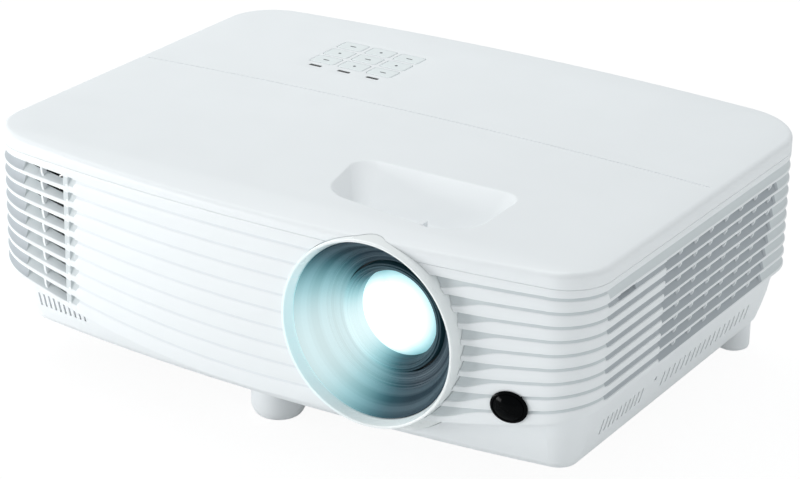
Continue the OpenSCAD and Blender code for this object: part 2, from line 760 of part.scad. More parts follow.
module key_board() {
  color("green") {
    box(key_x - 29, key_x + 29, key_y - 33, key_y + 27, board_z, board_z + board_t);
    for (i = [-1:1], j = [-1:1])
      post(key_x + i * key_px, key_y + j * key_py, board_z + board_t, board_z + board_t + 0.6, 2.5);
    box(key_x - 8, key_x + 8, key_y - 32, key_y - 28, board_z + board_t, board_z + board_t + 3);
  }
}

module status_lights() {
  z0 = board_z + board_t;
  color("black") for (i = [-1:1]) translate([key_x + i * key_px, key_y - 21.6, 0]) {
    translate([-3.3, -1.05, z0]) cube([6.6, 2.1, top_z - 0.1 - z0]);
    translate([-4, -1.6, z0]) cube([8, 3.2, 2]);
  }
}

// ---------- light engine ----------

module engine_box() {
  x = lens_x;
  y = -barrel_back;
  color("silver") difference() {
    union() {
      box(x - 37, x + 37, y, y + 60, lens_z - 31.5, lens_z + 28.5);
      box(lamp_x - 14, lamp_x + 14, y + 40, wheel_y - 3, lamp_z - 10, lamp_z + 12);
      box(lamp_x - 10, lamp_x + 10, wheel_y - 8, wheel_y - 6, wheel_z - 10, lamp_z - 9);
    }
    box(x - 34.5, x + 34.5, y + 2.5, y + 57.5, lens_z - 29, lens_z + 26);
    box(lamp_x - 11.5, lamp_x + 11.5, y + 42.5, wheel_y - 5.5, lamp_z - 7.5, lamp_z + 9.5);
    box(lamp_x - 4, lamp_x + 3, y + 50, wheel_y - 1, lamp_z - 4, lamp_z + 4);
    box(lamp_x - 9, lamp_x + 6, y + 44, y + 56, lamp_z - 6, lamp_z + 8);
    on_axis() translate([0, 0, barrel_back - 5]) cylinder(h = 8, r = 16);
    box(x - 11, x + 11, y + 50, y + 62, lens_z - 9.5, lens_z + 9.5);
    for (a = [45:90:315]) on_axis() rotate([0, 0, a])
      translate([29.3, 0, barrel_back - 6]) cylinder(h = 8, r = 1.2);
  }
}

module mirror_chip_board() {
  color("green") {
    y = 60 - barrel_back;
    box(lens_x - 32, lens_x + 20, y, y + 1.6, lens_z - 27.5, lens_z + 26.5);
    box(lens_x - 10, lens_x + 10, y - 2.1, y, lens_z - 8.5, lens_z + 8.5);
  }
}

module heat_sink() {
  color("silver") {
    x = lens_x - 26;
    y = 61.6 - barrel_back;
    box(x, x + 37, y, y + 3.4, lens_z - 21.5, lens_z + 22.5);
    for (i = [0:8]) box(x + 0.4 + i * 4.3, x + 2 + i * 4.3, y + 2.9, y + 20.4, lens_z - 21.5, lens_z + 22.5);
  }
}

module wheel_motor() {
  color("dimgray") {
    translate([lamp_x, wheel_y - 6, wheel_z]) rotate([-90, 0, 0]) cylinder(h = 5.4, r = 7);
    translate([lamp_x, wheel_y - 6, wheel_z]) rotate([-90, 0, 0]) cylinder(h = 9, r = 1.5);
  }
}

module colour_wheel() {
  color("lightblue") translate([lamp_x, wheel_y, wheel_z]) rotate([-90, 0, 0]) difference() {
    union() {
      cylinder(h = 1, r = 22);
      cylinder(h = 2.2, r = 8);
    }
    translate([0, 0, -1]) cylinder(h = 5, r = 1.5 + run);
  }
}

module lamp_housing() {
  color("dimgray") difference() {
    union() {
      box(door_x0 - 2, door_x1 + 1, door_y0 - 2, door_y1 + 1.5, floor_z, floor_z + 2);
      box(door_x0 + 3, door_x1, door_y0 + 2, door_y1 - 2, floor_z + 1, lamp_z + 28);
    }
    box(door_x0 + 5.5, door_x1 - 2.5, door_y0 + 4.5, door_y1 - 4.5, floor_z + 4, lamp_z + 25.5);
    translate([lamp_x, door_y0, lamp_z]) rotate([-90, 0, 0]) cylinder(h = 6, r = 19);
    for (i = [0:5])
      box(door_x1 - 11, door_x1 + 4, door_y0 + 10 + i * 7, door_y0 + 14 + i * 7, lamp_z - 14, lamp_z + 18);
  }
}

module lamp_reflector() {
  color("lightgray") translate([lamp_x, door_y0 + 4.5, lamp_z]) rotate([-90, 0, 0]) rotate_extrude()
    polygon([[24, 0], [24.4, 2], [22.8, 10], [20, 18], [15.5, 25], [9, 30.5], [5.5, 32], [5.5, 42],
      [0, 42], [0, 14], [1.2, 14], [1.2, 28], [3.8, 30], [7.8, 28.6], [14, 23.4], [18.4, 16.8],
      [21, 9.4], [22.3, 2], [22.3, 0]]);
}

module lamp_door() {
  color("white") difference() {
    union() {
      box(door_x0 + gap, door_x1 - gap, door_y0 + gap, door_y1 - gap, foot_gap, foot_gap + door_t);
      for (x = [door_x0 + 5, door_x1 - 6.5])
        box(x, x + 1.5, door_y0 + 8, door_y1 - 8, foot_gap + 1, floor_z - 0.3);
    }
    for (i = [0:3]) box(door_x0 + 22, door_x1 - 22, door_y0 + 6 + 2.6 * i, door_y0 + 7.2 + 2.6 * i,
      foot_gap - 1, foot_gap + 0.6);
  }
}

// ---------- boards and sockets ----------

module main_board() {
  z = main_z + board_t;
  y = panel_y;
  color("green") {
    difference() {
      box(inlet_x + 11, io_x1 - 50, y - 65, y - 1, main_z, z);
      // corner cut away for the power inlet
      box(inlet_x - 1, inlet_x + 14.2, y - 13.5, y + 1, main_z - 1, z + 1);
      for (p = main_holes) post(p[0], p[1], main_z - 1, z + 1, 1.5);
    }
    box(-40, -10, y - 51, y - 21, z, z + 2.5);
    box(-36, -14, y - 47, y - 25, z + 2.4, z + 12);
    for (x = [5, 24]) box(x, x + 14, y - 53, y - 41, z, z + 1.4);
    for (i = [0:3]) post(inlet_x + 25 + i * 9, y - 51, z, z + 8, 3.1);
    box(inlet_x + 21, inlet_x + 43, y - 35, y - 29, z, z + 6);
  }
}

module io_ports() {
  z = main_z + board_t;
  y = panel_y;
  color("gray") {
    // two digital video sockets, two analogue ones and three jacks
    for (x = hdmi_x) difference() {
      box(x - 7.4, x + 7.4, y - 11, y + 2.5, z, z + 6);
      box(x - 6.8, x + 6.8, y - 7, y + 3, z + 0.6, z + 5.2);
    }
    for (x = vga_x) {
      box(x - 15.3, x + 15.3, y - 11, y - 0.2, z, z + 12.5);
      box(x - 8.2, x + 8.2, y - 1, y + 5, z + 2, z + 10.4);
      for (s = [-1, 1]) translate([x + s * 12.5, y - 1, z + 6.2]) rotate([-90, 0, 0])
        cylinder(h = 5.6, r = 2.6, $fn = 6);
    }
    for (x = jack_x) difference() {
      union() {
        box(x - 5, x + 5, y - 13, y - 0.2, z, z + 11);
        translate([x, y - 1, main_z + 8]) rotate([-90, 0, 0]) cylinder(h = 5, r = 4);
      }
      translate([x, y - 6, main_z + 8]) rotate([-90, 0, 0]) cylinder(h = 12, r = 1.9);
    }
  }
}

module power_board() {
  x = inlet_x;
  y = panel_y;
  color("tan") {
    difference() {
      box(x - 25, x + 45, y - 99, y - 7, 28, 29.6);
      post(main_holes[0][0], main_holes[0][1], 27, 31, 3.5);
    }
    box(x - 17, x + 9, y - 87, y - 57, 29.6, 54);
    box(x + 15, x + 37, y - 85, y - 65, 29.6, 50);
    for (d = [51, 37]) post(x + 23, y - d, 29.6, 58, 6);
    box(x - 15, x - 3, y - 49, y - 17, 29.6, 50);
    box(x + 13, x + 37, y - 27, y - 13, 29.6, 46);
  }
}

module power_inlet() {
  y = panel_y;
  color("black") difference() {
    union() {
      box(inlet_x - 13.7, inlet_x + 13.7, y - 13, y + 3, inlet_z - 10.2, inlet_z + 10.2);
      box(inlet_x - 15.6, inlet_x + 15.6, y + panel_t, y + 3.8, inlet_z - 12, inlet_z + 12);
    }
    box(inlet_x - 12, inlet_x + 12, y - 10.5, y + 5, inlet_z - 8.1, inlet_z + 8.1);
  }
  color("silver") for (p = [[-7, 1], [0, -3], [7, 1]])
    box(inlet_x + p[0] - 1, inlet_x + p[0] + 1, y - 11, y,
      inlet_z + p[1] - 2.2, inlet_z + p[1] + 2.2);
}

module ballast_board() {
  color("tan") {
    y = panel_y;
    box(-50, 12, y - 63, y - 5, 28, 29.6);
    box(-42, -16, y - 51, y - 29, 29.6, 48);
    box(-8, 6, y - 49, y - 21, 29.6, 44);
    post(-30, y - 17, 29.6, 50, 5);
  }
}

// ---------- cooling and sound ----------

module fan_frame() {
  x1 = fan_x + fan_t;
  color("black") difference() {
    box(fan_x, x1, fan_y - fan_s / 2, fan_y + fan_s / 2, fan_z - fan_s / 2, fan_z + fan_s / 2);
    translate([fan_x - 1, fan_y, fan_z]) rotate([0, 90, 0]) cylinder(h = fan_t + 2, r = 33);
    for (y = [-1, 1], z = [-1, 1]) translate([fan_x - 1, fan_y + y * 31, fan_z + z * 31])
      rotate([0, 90, 0]) cylinder(h = fan_t + 2, r = 2.1);
  }
  color("black") {
    translate([fan_x, fan_y, fan_z]) rotate([0, 90, 0]) cylinder(h = 2, r = 14);
    translate([fan_x, fan_y, fan_z]) rotate([0, 90, 0]) cylinder(h = fan_t - 4, r = 2);
    for (a = [45:90:315]) translate([fan_x, fan_y, fan_z]) rotate([a, 0, 0])
      translate([0, -1.5, 12]) cube([2, 3, 22]);
  }
}

module rotor(r_out, h, hub, blades, bore, twist) {
  difference() {
    union() {
      cylinder(h = h, r = hub);
      for (i = [0:blades - 1]) rotate([0, 0, i * 360 / blades]) translate([hub - 1, 0, h / 2])
        rotate([twist, 0, 0]) translate([0, -h / 2 + 0.5, -0.6]) cube([r_out - hub + 1, h - 1, 1.2]);
    }
    translate([0, 0, -1]) cylinder(h = h - 1.5, r = bore);
  }
}

module fan_rotor() {
  color("dimgray") translate([fan_x + 3, fan_y, fan_z]) rotate([0, 90, 0])
    intersection() {
      rotor(31.8, 11, 13, 7, 2 + run, 40);
      cylinder(h = 11, r = 31.8);
    }
}

module blower_case() {
  z1 = blow_z + blow_t;
  color("black") difference() {
    union() {
      post(blow_x, blow_y, blow_z, z1, 34);
      box(blow_x - 34, blow_x - 6, blow_y, blow_y + 37, blow_z, z1);
    }
    post(blow_x, blow_y, blow_z + 2, z1 - 2, 32);
    box(blow_x - 32, blow_x - 8, blow_y, blow_y + 38, blow_z + 2, z1 - 2);
    post(blow_x, blow_y, z1 - 3, z1 + 1, 20);
    difference() {
      post(blow_x, blow_y, blow_z - 1, blow_z + 3, 20);
      post(blow_x, blow_y, blow_z - 2, blow_z + 4, 9);
      box(blow_x - 22, blow_x + 22, blow_y - 1.5, blow_y + 1.5, blow_z - 2, blow_z + 4);
    }
  }
  color("black") post(blow_x, blow_y, blow_z, blow_z + 15, 2);
}

module blower_rotor() {
  color("dimgray") translate([blow_x, blow_y, blow_z + 3]) difference() {
    union() {
      cylinder(h = 16, r = 9);
      cylinder(h = 1.4, r = 26);
      for (i = [0:23]) rotate([0, 0, i * 15]) translate([19, 0, 1]) rotate([0, 0, 30]) cube([8, 1, 15]);
    }
    translate([0, 0, -1]) cylinder(h = 14, r = 2 + run);
  }
}

module speaker() {
  color("black") translate([-hw + 25.5, -16, 60]) rotate([0, -90, 0]) difference() {
    union() {
      translate([-17, -17, 5]) cube([34, 34, 2]);
      cylinder(h = 6, r1 = 11, r2 = 15);
      cylinder(h = 3.5, r = 11.5);
    }
    translate([0, 0, 4.5]) cylinder(h = 4, r1 = 6, r2 = 14.5);
  }
}

module dust_filter() {
  y0 = slot_y0 - 22;
  l = slot_n * slot_pitch + 4;
  color("darkgray") difference() {
    translate([-hw + 6, y0, ledge_z + 2]) cube([2, l, 50]);
    for (i = [0:8], j = [0:3])
      translate([-hw + 5, y0 + 3 + i * 12.2, ledge_z + 5 + j * 11.6]) cube([4, 10.6, 10]);
  }
  color("gray") translate([-hw + 6.7, y0 + 1, ledge_z + 3]) cube([0.6, l - 2, 48]);
}

// ---------- feet and fasteners ----------

module foot_stem() {
  color("silver") {
    post(foot_x, foot_y, foot_gap - 1, 40, 5);
    post(foot_x, foot_y, 6, foot_gap - 1, 4);
  }
}

module foot_knob() {
  color("white") translate([foot_x, foot_y, 0]) rotate_extrude() polygon([[0, 0], [7, 0], [9.6, 0.7],
    [11.4, 2.2], [12.3, 4.4], [foot_r, 7], [foot_r, foot_gap - 1.8], [foot_r - 0.8, foot_gap - 1],
    [4 + run, foot_gap - 1], [4 + run, 6], [0, 6]]);
}

module rear_feet() {
  color("white") for (s = [-1, 1]) translate([s * rear_x, rear_y, 0]) {
    rotate_extrude() polygon([[0, 0], [rear_r - 1.5, 0], [rear_r - 0.4, 0.6], [rear_r, 1.8],
      [rear_r, foot_gap], [3, foot_gap], [3, foot_gap + 4.5], [0, foot_gap + 4.5]]);
  }
}

module mount_inserts() {
  color("goldenrod") for (b = insert_xy) difference() {
    post(b[0], b[1], foot_gap + 0.2, floor_z + 7.5, 3.15);
    post(b[0], b[1], foot_gap - 1, floor_z + 6, insert_r);
  }
}

module case_screws() {
  color("silver") for (b = boss_xy) difference() {
    union() {
      post(b[0], b[1], 31.5, 34, 3);
      post(b[0], b[1], 33, screw_top, 1.5);
    }
    translate([b[0] - 2, b[1] - 0.35, 31]) cube([4, 0.7, 1.6]);
    translate([b[0] - 0.35, b[1] - 2, 31]) cube([0.7, 4, 1.6]);
  }
}

top_cover();
louvre_shell();
bottom_tray();
rear_panel();
lens_bezel();
lens_hood();
barrel_body();
focus_ring();
zoom_ring();
focus_cell();
front_glass();
zoom_cell();
zoom_glass();
rear_glass();
ir_window();
ir_board();
key(1);  // key_1
key(2);  // key_2
key(3);  // key_3
key(4);  // key_4
key(5);  // key_5
key(6);  // key_6
key(7);  // key_7
key(8);  // key_8
key(9);  // key_9
key_board();
status_lights();
engine_box();
mirror_chip_board();
heat_sink();
wheel_motor();
colour_wheel();
lamp_housing();
lamp_reflector();
lamp_door();
main_board();
io_ports();
power_board();
power_inlet();
ballast_board();
fan_frame();
fan_rotor();
blower_case();
blower_rotor();
speaker();
dust_filter();
foot_stem();
foot_knob();
rear_feet();
mount_inserts();
case_screws();
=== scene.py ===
import json
from collections import namedtuple
from math import asin, atan2, ceil, cos, degrees, hypot, pi, radians, sin, sqrt

import bmesh
import bpy
from mathutils import Matrix, Vector
from mathutils.geometry import delaunay_2d_cdt


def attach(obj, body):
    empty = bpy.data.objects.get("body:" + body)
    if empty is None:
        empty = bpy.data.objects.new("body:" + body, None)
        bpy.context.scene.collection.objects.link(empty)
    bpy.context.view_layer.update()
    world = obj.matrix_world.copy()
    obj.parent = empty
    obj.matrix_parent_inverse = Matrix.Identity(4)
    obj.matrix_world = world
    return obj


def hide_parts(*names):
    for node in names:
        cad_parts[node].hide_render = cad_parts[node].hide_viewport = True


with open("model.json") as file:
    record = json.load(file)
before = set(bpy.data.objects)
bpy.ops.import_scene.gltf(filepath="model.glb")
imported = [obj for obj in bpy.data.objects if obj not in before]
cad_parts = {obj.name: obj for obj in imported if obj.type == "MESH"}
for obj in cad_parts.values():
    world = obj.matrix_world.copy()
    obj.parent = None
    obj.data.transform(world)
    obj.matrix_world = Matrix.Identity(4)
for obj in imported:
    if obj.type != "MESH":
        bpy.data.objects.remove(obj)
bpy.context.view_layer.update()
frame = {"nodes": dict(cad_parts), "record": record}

MM = 0.001
scene = bpy.context.scene

# ---- sizes, in millimetres
HW = 156.5  # half the width
BODY_D = 241.0
FRONT_BULGE, BACK_BULGE = 12.5, 11.0
R_FL, R_FR, R_BR, R_BL = 28.0, 21.0, 36.0, 27.0  # corners, anticlockwise from the front left
WALL = 3.5
LID_T = 2.3
TOP_Z, SEAM_Z, FOOT_GAP = 113.5, 106.3, 20.0
BROW_Y, BROW_DROP = -105.5, 2.4  # in front of this line the lid slopes down by so much
GROOVE_Z, PITCH, RIB_SAG = 103.1, 5.95, 2.1  # first groove, distance to the next, sag of each
GROOVES = 9
LENS_X, LENS_Z = 59.0, 69.5
RIM_R, RIM_H, BEZEL_BACK, FLANK, OPEN_R = 42.4, 122.0, 112.0, 0.02, 39.7  # lens ring
BOWL_Z = 101.0
KEY_X, KEY_Y, KEY_PX, KEY_PY, KEY_W, KEY_D = -61.6, 68.1, 16.3, 12.1, 13.7, 9.6
EYE_X, EYE_Z, EYE_R = 124.0, 52.3, 8.0  # remote-control window
FOOT_X, FOOT_Y, FOOT_R = -9.0, -86.0, 12.5

FRONT_Y, BACK_Y = -BODY_D / 2, BODY_D / 2
FRONT_R = (HW * HW + FRONT_BULGE**2) / (2 * FRONT_BULGE)
BACK_R = (HW * HW + BACK_BULGE**2) / (2 * BACK_BULGE)
FRONT_CY, BACK_CY = FRONT_Y + FRONT_R, BACK_Y - BACK_R
BEZEL_ROOT = RIM_R + FLANK * (RIM_H - BEZEL_BACK)


def wall_y(x):
    """The front wall's outer face."""
    return FRONT_CY - sqrt(FRONT_R**2 - x * x)


def groove_top(k, x):
    """Height of groove k, which sags towards the middle of the front."""
    sag = RIB_SAG * k * (1 - (x / HW) ** 2)
    return GROOVE_Z - (k - 1) * PITCH - sag


def brow_z(y):
    """Top of the lid: level, then sloping down to its front edge."""
    return TOP_Z if y > BROW_Y else TOP_Z - (BROW_Y - y) * BROW_DROP / (BROW_Y - FRONT_Y)


def lid_under(y):
    """Underside of the lid, a little thicker below the slope."""
    return min(TOP_Z - LID_T, brow_z(y) - LID_T - 0.4 * smooth((BROW_Y + 2 - y) / 4.0))


def lerp(a, b, t):
    return a + (b - a) * t


def smooth(t):
    t = min(1.0, max(0.0, t))
    return t * t * (3 - 2 * t)


def ramp(x, x0, x1, a, b):
    return lerp(a, b, smooth((x - x0) / (x1 - x0)))


# ---- outline stations
def front_corner(s, r):
    return (s * (HW - r), FRONT_CY - sqrt((FRONT_R - r) ** 2 - (HW - r) ** 2))


def back_corner(s, r):
    return (s * (HW - r), BACK_CY + sqrt((BACK_R - r) ** 2 - (HW - r) ** 2))


def spread(marks, step):
    """Positions from the first to the last mark, no further apart than step, keeping each mark."""
    out = [marks[0]]
    for a, b in zip(marks, marks[1:]):
        n = max(1, ceil((b - a) / step - 1e-6))
        out += [a + (b - a) * (i + 1) / n for i in range(n)]
    return out


def walk(start, end, marks, step):
    """Positions from start towards end, without end itself, keeping the marks between them."""
    near = 0.3
    lo, hi = min(start, end), max(start, end)
    out = spread(sorted({lo, hi, *[m for m in marks if lo + near < m < hi - near]}), step)
    return out[:-1] if start < end else out[:0:-1]


def stations(front_marks=(), right_marks=(), left_marks=(), step=3.0, turns=18):
    """The outline from above, anticlockwise from the front left, as (x, y, nx, ny, part)."""
    fl, fr = front_corner(-1, R_FL), front_corner(1, R_FR)
    br, bl = back_corner(1, R_BR), back_corner(-1, R_BL)
    out = []

    def tangent(c, cy, big):
        return c[0] / hypot(c[0], c[1] - cy) * big

    def arc_run(c0, c1, cy, big, sign, marks, part):
        for x in walk(tangent(c0, cy, big), tangent(c1, cy, big), marks, step):
            y = cy + sign * sqrt(big * big - x * x)
            out.append((x, y, x / big, (y - cy) / big, part))

    def corner_run(c, r, a0, a1, part):
        for i in range(turns):
            a = a0 + (a1 - a0) * i / turns
            nx, ny = cos(a), sin(a)
            out.append((c[0] + r * nx, c[1] + r * ny, nx, ny, part))

    def side_run(s, y0, y1, marks, part):
        for y in walk(y0, y1, marks, step):
            out.append((s * HW, y, float(s), 0.0, part))

    def angle(c, cy):
        return atan2(c[1] - cy, c[0])

    arc_run(fl, fr, FRONT_CY, FRONT_R, -1, front_marks, "front")
    corner_run(fr, R_FR, angle(fr, FRONT_CY), 0.0, "fr")
    side_run(1, fr[1], br[1], right_marks, "right")
    corner_run(br, R_BR, 0.0, angle(br, BACK_CY), "br")
    arc_run(br, bl, BACK_CY, BACK_R, 1, (), "back")
    corner_run(bl, R_BL, angle(bl, BACK_CY), pi, "bl")
    side_run(-1, bl[1], fl[1], left_marks, "left")
    corner_run(fl, R_FL, pi, 2 * pi + angle(fl, FRONT_CY), "fl")
    return out


# ---- meshes
WELD, THIN = 2e-6, 1e-6


def new_object(name, verts, faces):
    """A mesh object from points in millimetres."""
    mesh = bpy.data.meshes.new(name)
    mesh.from_pydata([Vector(v) * MM for v in verts], [], faces)
    obj = bpy.data.objects.new(name, mesh)
    scene.collection.objects.link(obj)
    return obj


def close_up(obj, weld, thin):
    """Welds near points, takes out thin faces, both by distances in metres, and turns all faces out."""
    bm = bmesh.new()
    bm.from_mesh(obj.data)
    if weld:
        bmesh.ops.remove_doubles(bm, verts=bm.verts, dist=weld)
    if thin:
        bmesh.ops.dissolve_degenerate(bm, edges=bm.edges, dist=thin)
    bmesh.ops.recalc_face_normals(bm, faces=bm.faces)
    bm.to_mesh(obj.data)
    bm.free()


def shade(obj, sharp=35.0):
    """Smooth shading with an edge wherever two faces meet at more than so many degrees."""
    for p in obj.data.polygons:
        p.use_smooth = True
    obj.data.set_sharp_from_angle(angle=radians(sharp))


def make(name, verts, faces, mat, body="case", slot=None, sharp=35.0, weld=True, tones=None):
    """A piece of the scene; tones gives the number of another material to some of its faces."""
    obj = new_object(name, verts, faces)
    for i, tone in (tones or {}).items():
        obj.data.polygons[i].material_index = tone
    close_up(obj, WELD if weld else 0, THIN if weld else 0)
    shade(obj, sharp)
    obj.data.materials.append(mat)
    if body:
        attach(obj, body)
    return obj


def grid_faces(rows, cols, skip=None):
    """Quads between closed rows of points laid out row by row."""
    out = []
    for r in range(rows - 1):
        for c in range(cols):
            if skip and skip(r, c):
                continue
            d = (c + 1) % cols
            out.append((r * cols + c, r * cols + d, (r + 1) * cols + d, (r + 1) * cols + c))
    return out


def skin(rows):
    """Closed rows of points joined from one row to the next."""
    return [p for row in rows for p in row], grid_faces(len(rows), len(rows[0]))


def lathe(profile, n=128, axis="y", centre=(LENS_X, 0.0, LENS_Z)):
    """Turns (radius, height) points. Along y the height is the distance towards the front."""
    cx, cy, cz = centre
    verts = []
    for r, h in profile:
        for i in range(n):
            a = 2 * pi * i / n
            u, v = r * cos(a), r * sin(a)
            verts.append((cx + u, cy - h, cz + v) if axis == "y" else (cx + u, cy + v, cz + h))
    return verts, grid_faces(len(profile), n)


def round_off(points, i, cut, limit, steps):
    """A rounded corner at point i, as points along a curve from one side of it to the other."""
    a, b, c = (Vector(points[j]) for j in (i - 1, i, i + 1))
    u, v = a - b, c - b
    w = min(cut, u.length * limit, v.length * limit)
    s, e = b + u.normalized() * w, b + v.normalized() * w
    for j in range(steps + 1):
        t = j / steps
        yield tuple(s * (1 - t) ** 2 + b * 2 * t * (1 - t) + e * t * t)


def rounded(points, radii, steps=5):
    """A run of 2D points with its corners rounded, each by its own radius."""
    out = [tuple(points[0])]
    for i in range(1, len(points) - 1):
        out += round_off(points, i, radii[i], 0.45, steps) if radii[i] > 0 else [tuple(points[i])]
    out.append(tuple(points[-1]))
    return out


def scratch(name, verts, faces):
    """A body that only cuts others and isn't part of the scene."""
    obj = new_object(name, verts, faces)
    close_up(obj, THIN, 0)
    return obj


def scratch_box(name, lo, hi):
    v = [(x, y, z) for x in (lo[0], hi[0]) for y in (lo[1], hi[1]) for z in (lo[2], hi[2])]
    f = [(0, 1, 3, 2), (4, 6, 7, 5), (0, 4, 5, 1), (2, 3, 7, 6), (0, 2, 6, 4), (1, 5, 7, 3)]
    return scratch(name, v, f)


def cut(obj, cutter):
    """Takes the cutter away from the piece and throws the cutter away."""
    mod = obj.modifiers.new("cut", "BOOLEAN")
    mod.operation = "DIFFERENCE"
    mod.solver = "EXACT"
    mod.object = cutter
    deps = bpy.context.evaluated_depsgraph_get()
    made = bpy.data.meshes.new_from_object(obj.evaluated_get(deps))
    obj.modifiers.clear()
    waste = (obj.data, cutter.data)
    obj.data = made
    bpy.data.objects.remove(cutter)
    for mesh in waste:
        bpy.data.meshes.remove(mesh)


def cut_below(obj, z):
    """Takes away what hangs below one height."""
    cut(obj, scratch_box("low", (-100, -150, -5), (200, 0, z)))


def merged(parts):
    """Several meshes as one."""
    verts, faces = [], []
    for v, f in parts:
        base = len(verts)
        verts += list(v)
        faces += [tuple(i + base for i in face) for face in f]
    return verts, faces


def turn(axis, deg):
    return Matrix.Rotation(radians(deg), 4, axis)


def shift(x, y, z):
    return Matrix.Translation(Vector((x, y, z)))


# ---- materials
def put(node, values):
    for name, value in values.items():
        node.inputs[name].default_value = value


def add(tree, kind, values=None, **settings):
    """A shader node of one kind with its settings and the values of its inputs."""
    node = tree.nodes.new("ShaderNode" + kind)
    for name, value in settings.items():
        setattr(node, name, value)
    put(node, values or {})
    return node


def new_material(name):
    mat = bpy.data.materials.new(name)
    mat.use_nodes = True
    tree = mat.node_tree
    tree.nodes.clear()
    out = add(tree, "OutputMaterial")
    shader = add(tree, "BsdfPrincipled")
    tree.links.new(shader.outputs["BSDF"], out.inputs["Surface"])
    return mat, tree, shader, out


def coords(tree, scale=(1, 1, 1)):
    place = add(tree, "TexCoord")
    mapping = add(tree, "Mapping", {"Scale": scale})
    tree.links.new(place.outputs["Object"], mapping.inputs["Vector"])
    return mapping.outputs["Vector"]


def noise(tree, vec, scale, detail=4.0, rough=0.55):
    node = add(tree, "TexNoise", {"Scale": scale, "Detail": detail, "Roughness": rough})
    tree.links.new(vec, node.inputs["Vector"])
    return node.outputs["Fac"]


def span(tree, fac, lo, hi, from_lo=0.3, from_hi=0.7):
    """Carries one range of a value over to another."""
    limits = {"From Min": from_lo, "From Max": from_hi, "To Min": lo, "To Max": hi}
    node = add(tree, "MapRange", limits)
    tree.links.new(fac, node.inputs["Value"])
    return node.outputs["Result"]


def tint(tree, fac, a, b):
    node = add(tree, "Mix", {"A": (*a, 1), "B": (*b, 1)}, data_type="RGBA")
    tree.links.new(fac, node.inputs["Factor"])
    return node.outputs["Result"]


def mottle(tree, fac, colour, vary):
    """A colour that is a little darker and lighter by turns."""
    low = tuple(c * (1 - vary) for c in colour)
    high = tuple(min(1.0, c * (1 + vary)) for c in colour)
    return tint(tree, span(tree, fac, 0, 1), low, high)


def bump(tree, shader, height, strength, distance):
    node = add(tree, "Bump", {"Strength": strength, "Distance": distance})
    tree.links.new(height, node.inputs["Height"])
    tree.links.new(node.outputs["Normal"], shader.inputs["Normal"])


def srgb(r, g, b):
    def lin(c):
        c /= 255.0
        return c / 12.92 if c <= 0.04045 else ((c + 0.055) / 1.055) ** 2.4

    return (lin(r), lin(g), lin(b))


def moulded(name, colour, vary, rough, grain, grain_mm, spec=0.4, coat=0.0):
    """Moulded plastic: a faint mottle in the colour, fine grain and uneven gloss."""
    mat, tree, sh, _ = new_material(name)
    vec = coords(tree)
    tree.links.new(mottle(tree, noise(tree, vec, 14.0, 3.0), colour, vary), sh.inputs["Base Color"])
    tree.links.new(span(tree, noise(tree, vec, 60.0, 5.0), *rough), sh.inputs["Roughness"])
    bump(tree, sh, noise(tree, vec, grain, 2.0, 0.6), 0.35, grain_mm * MM)
    put(sh, {"Specular IOR Level": spec})
    if coat:
        put(sh, {"Coat Weight": coat, "Coat Roughness": 0.12})
    return mat


def metal(name, colour, rough=(0.25, 0.42), stretch=(1, 1, 40), vary=0.06, strength=0.25):
    """Brushed, cast or machined metal: streaks along one axis and uneven gloss."""
    mat, tree, sh, _ = new_material(name)
    streaks = noise(tree, coords(tree, stretch), 120.0, 6.0)
    tree.links.new(mottle(tree, streaks, colour, vary), sh.inputs["Base Color"])
    tree.links.new(span(tree, streaks, *rough), sh.inputs["Roughness"])
    bump(tree, sh, streaks, strength, 0.00003)
    put(sh, {"Metallic": 1.0})
    return mat


def board(name, base, trace):
    """Printed circuit board: raised copper under the lacquer, in irregular square cells."""
    mat, tree, sh, _ = new_material(name)
    vec = coords(tree)
    cell = add(tree, "TexVoronoi", {"Scale": 190.0}, distance="CHEBYCHEV", feature="F1")
    tree.links.new(vec, cell.inputs["Vector"])
    fac = span(tree, cell.outputs["Distance"], 1, 0, 0.28, 0.34)
    tree.links.new(tint(tree, fac, base, trace), sh.inputs["Base Color"])
    tree.links.new(span(tree, noise(tree, vec, 200.0), 0.25, 0.45), sh.inputs["Roughness"])
    bump(tree, sh, fac, 0.3, 0.00005)
    put(sh, {"Coat Weight": 0.3})
    return mat


def glass(name, colour, rough=0.03):
    """Clear glass with a slightly uneven polish."""
    mat, tree, sh, _ = new_material(name)
    vec = coords(tree)
    bright = tuple(min(1, c * 1.04) for c in colour)
    tone = tint(tree, span(tree, noise(tree, vec, 30.0), 0, 1), colour, bright)
    tree.links.new(tone, sh.inputs["Base Color"])
    tree.links.new(span(tree, noise(tree, vec, 80.0), rough, rough + 0.03), sh.inputs["Roughness"])
    put(sh, {"Transmission Weight": 0.9, "IOR": 1.5, "Coat Weight": 0.4})
    return mat


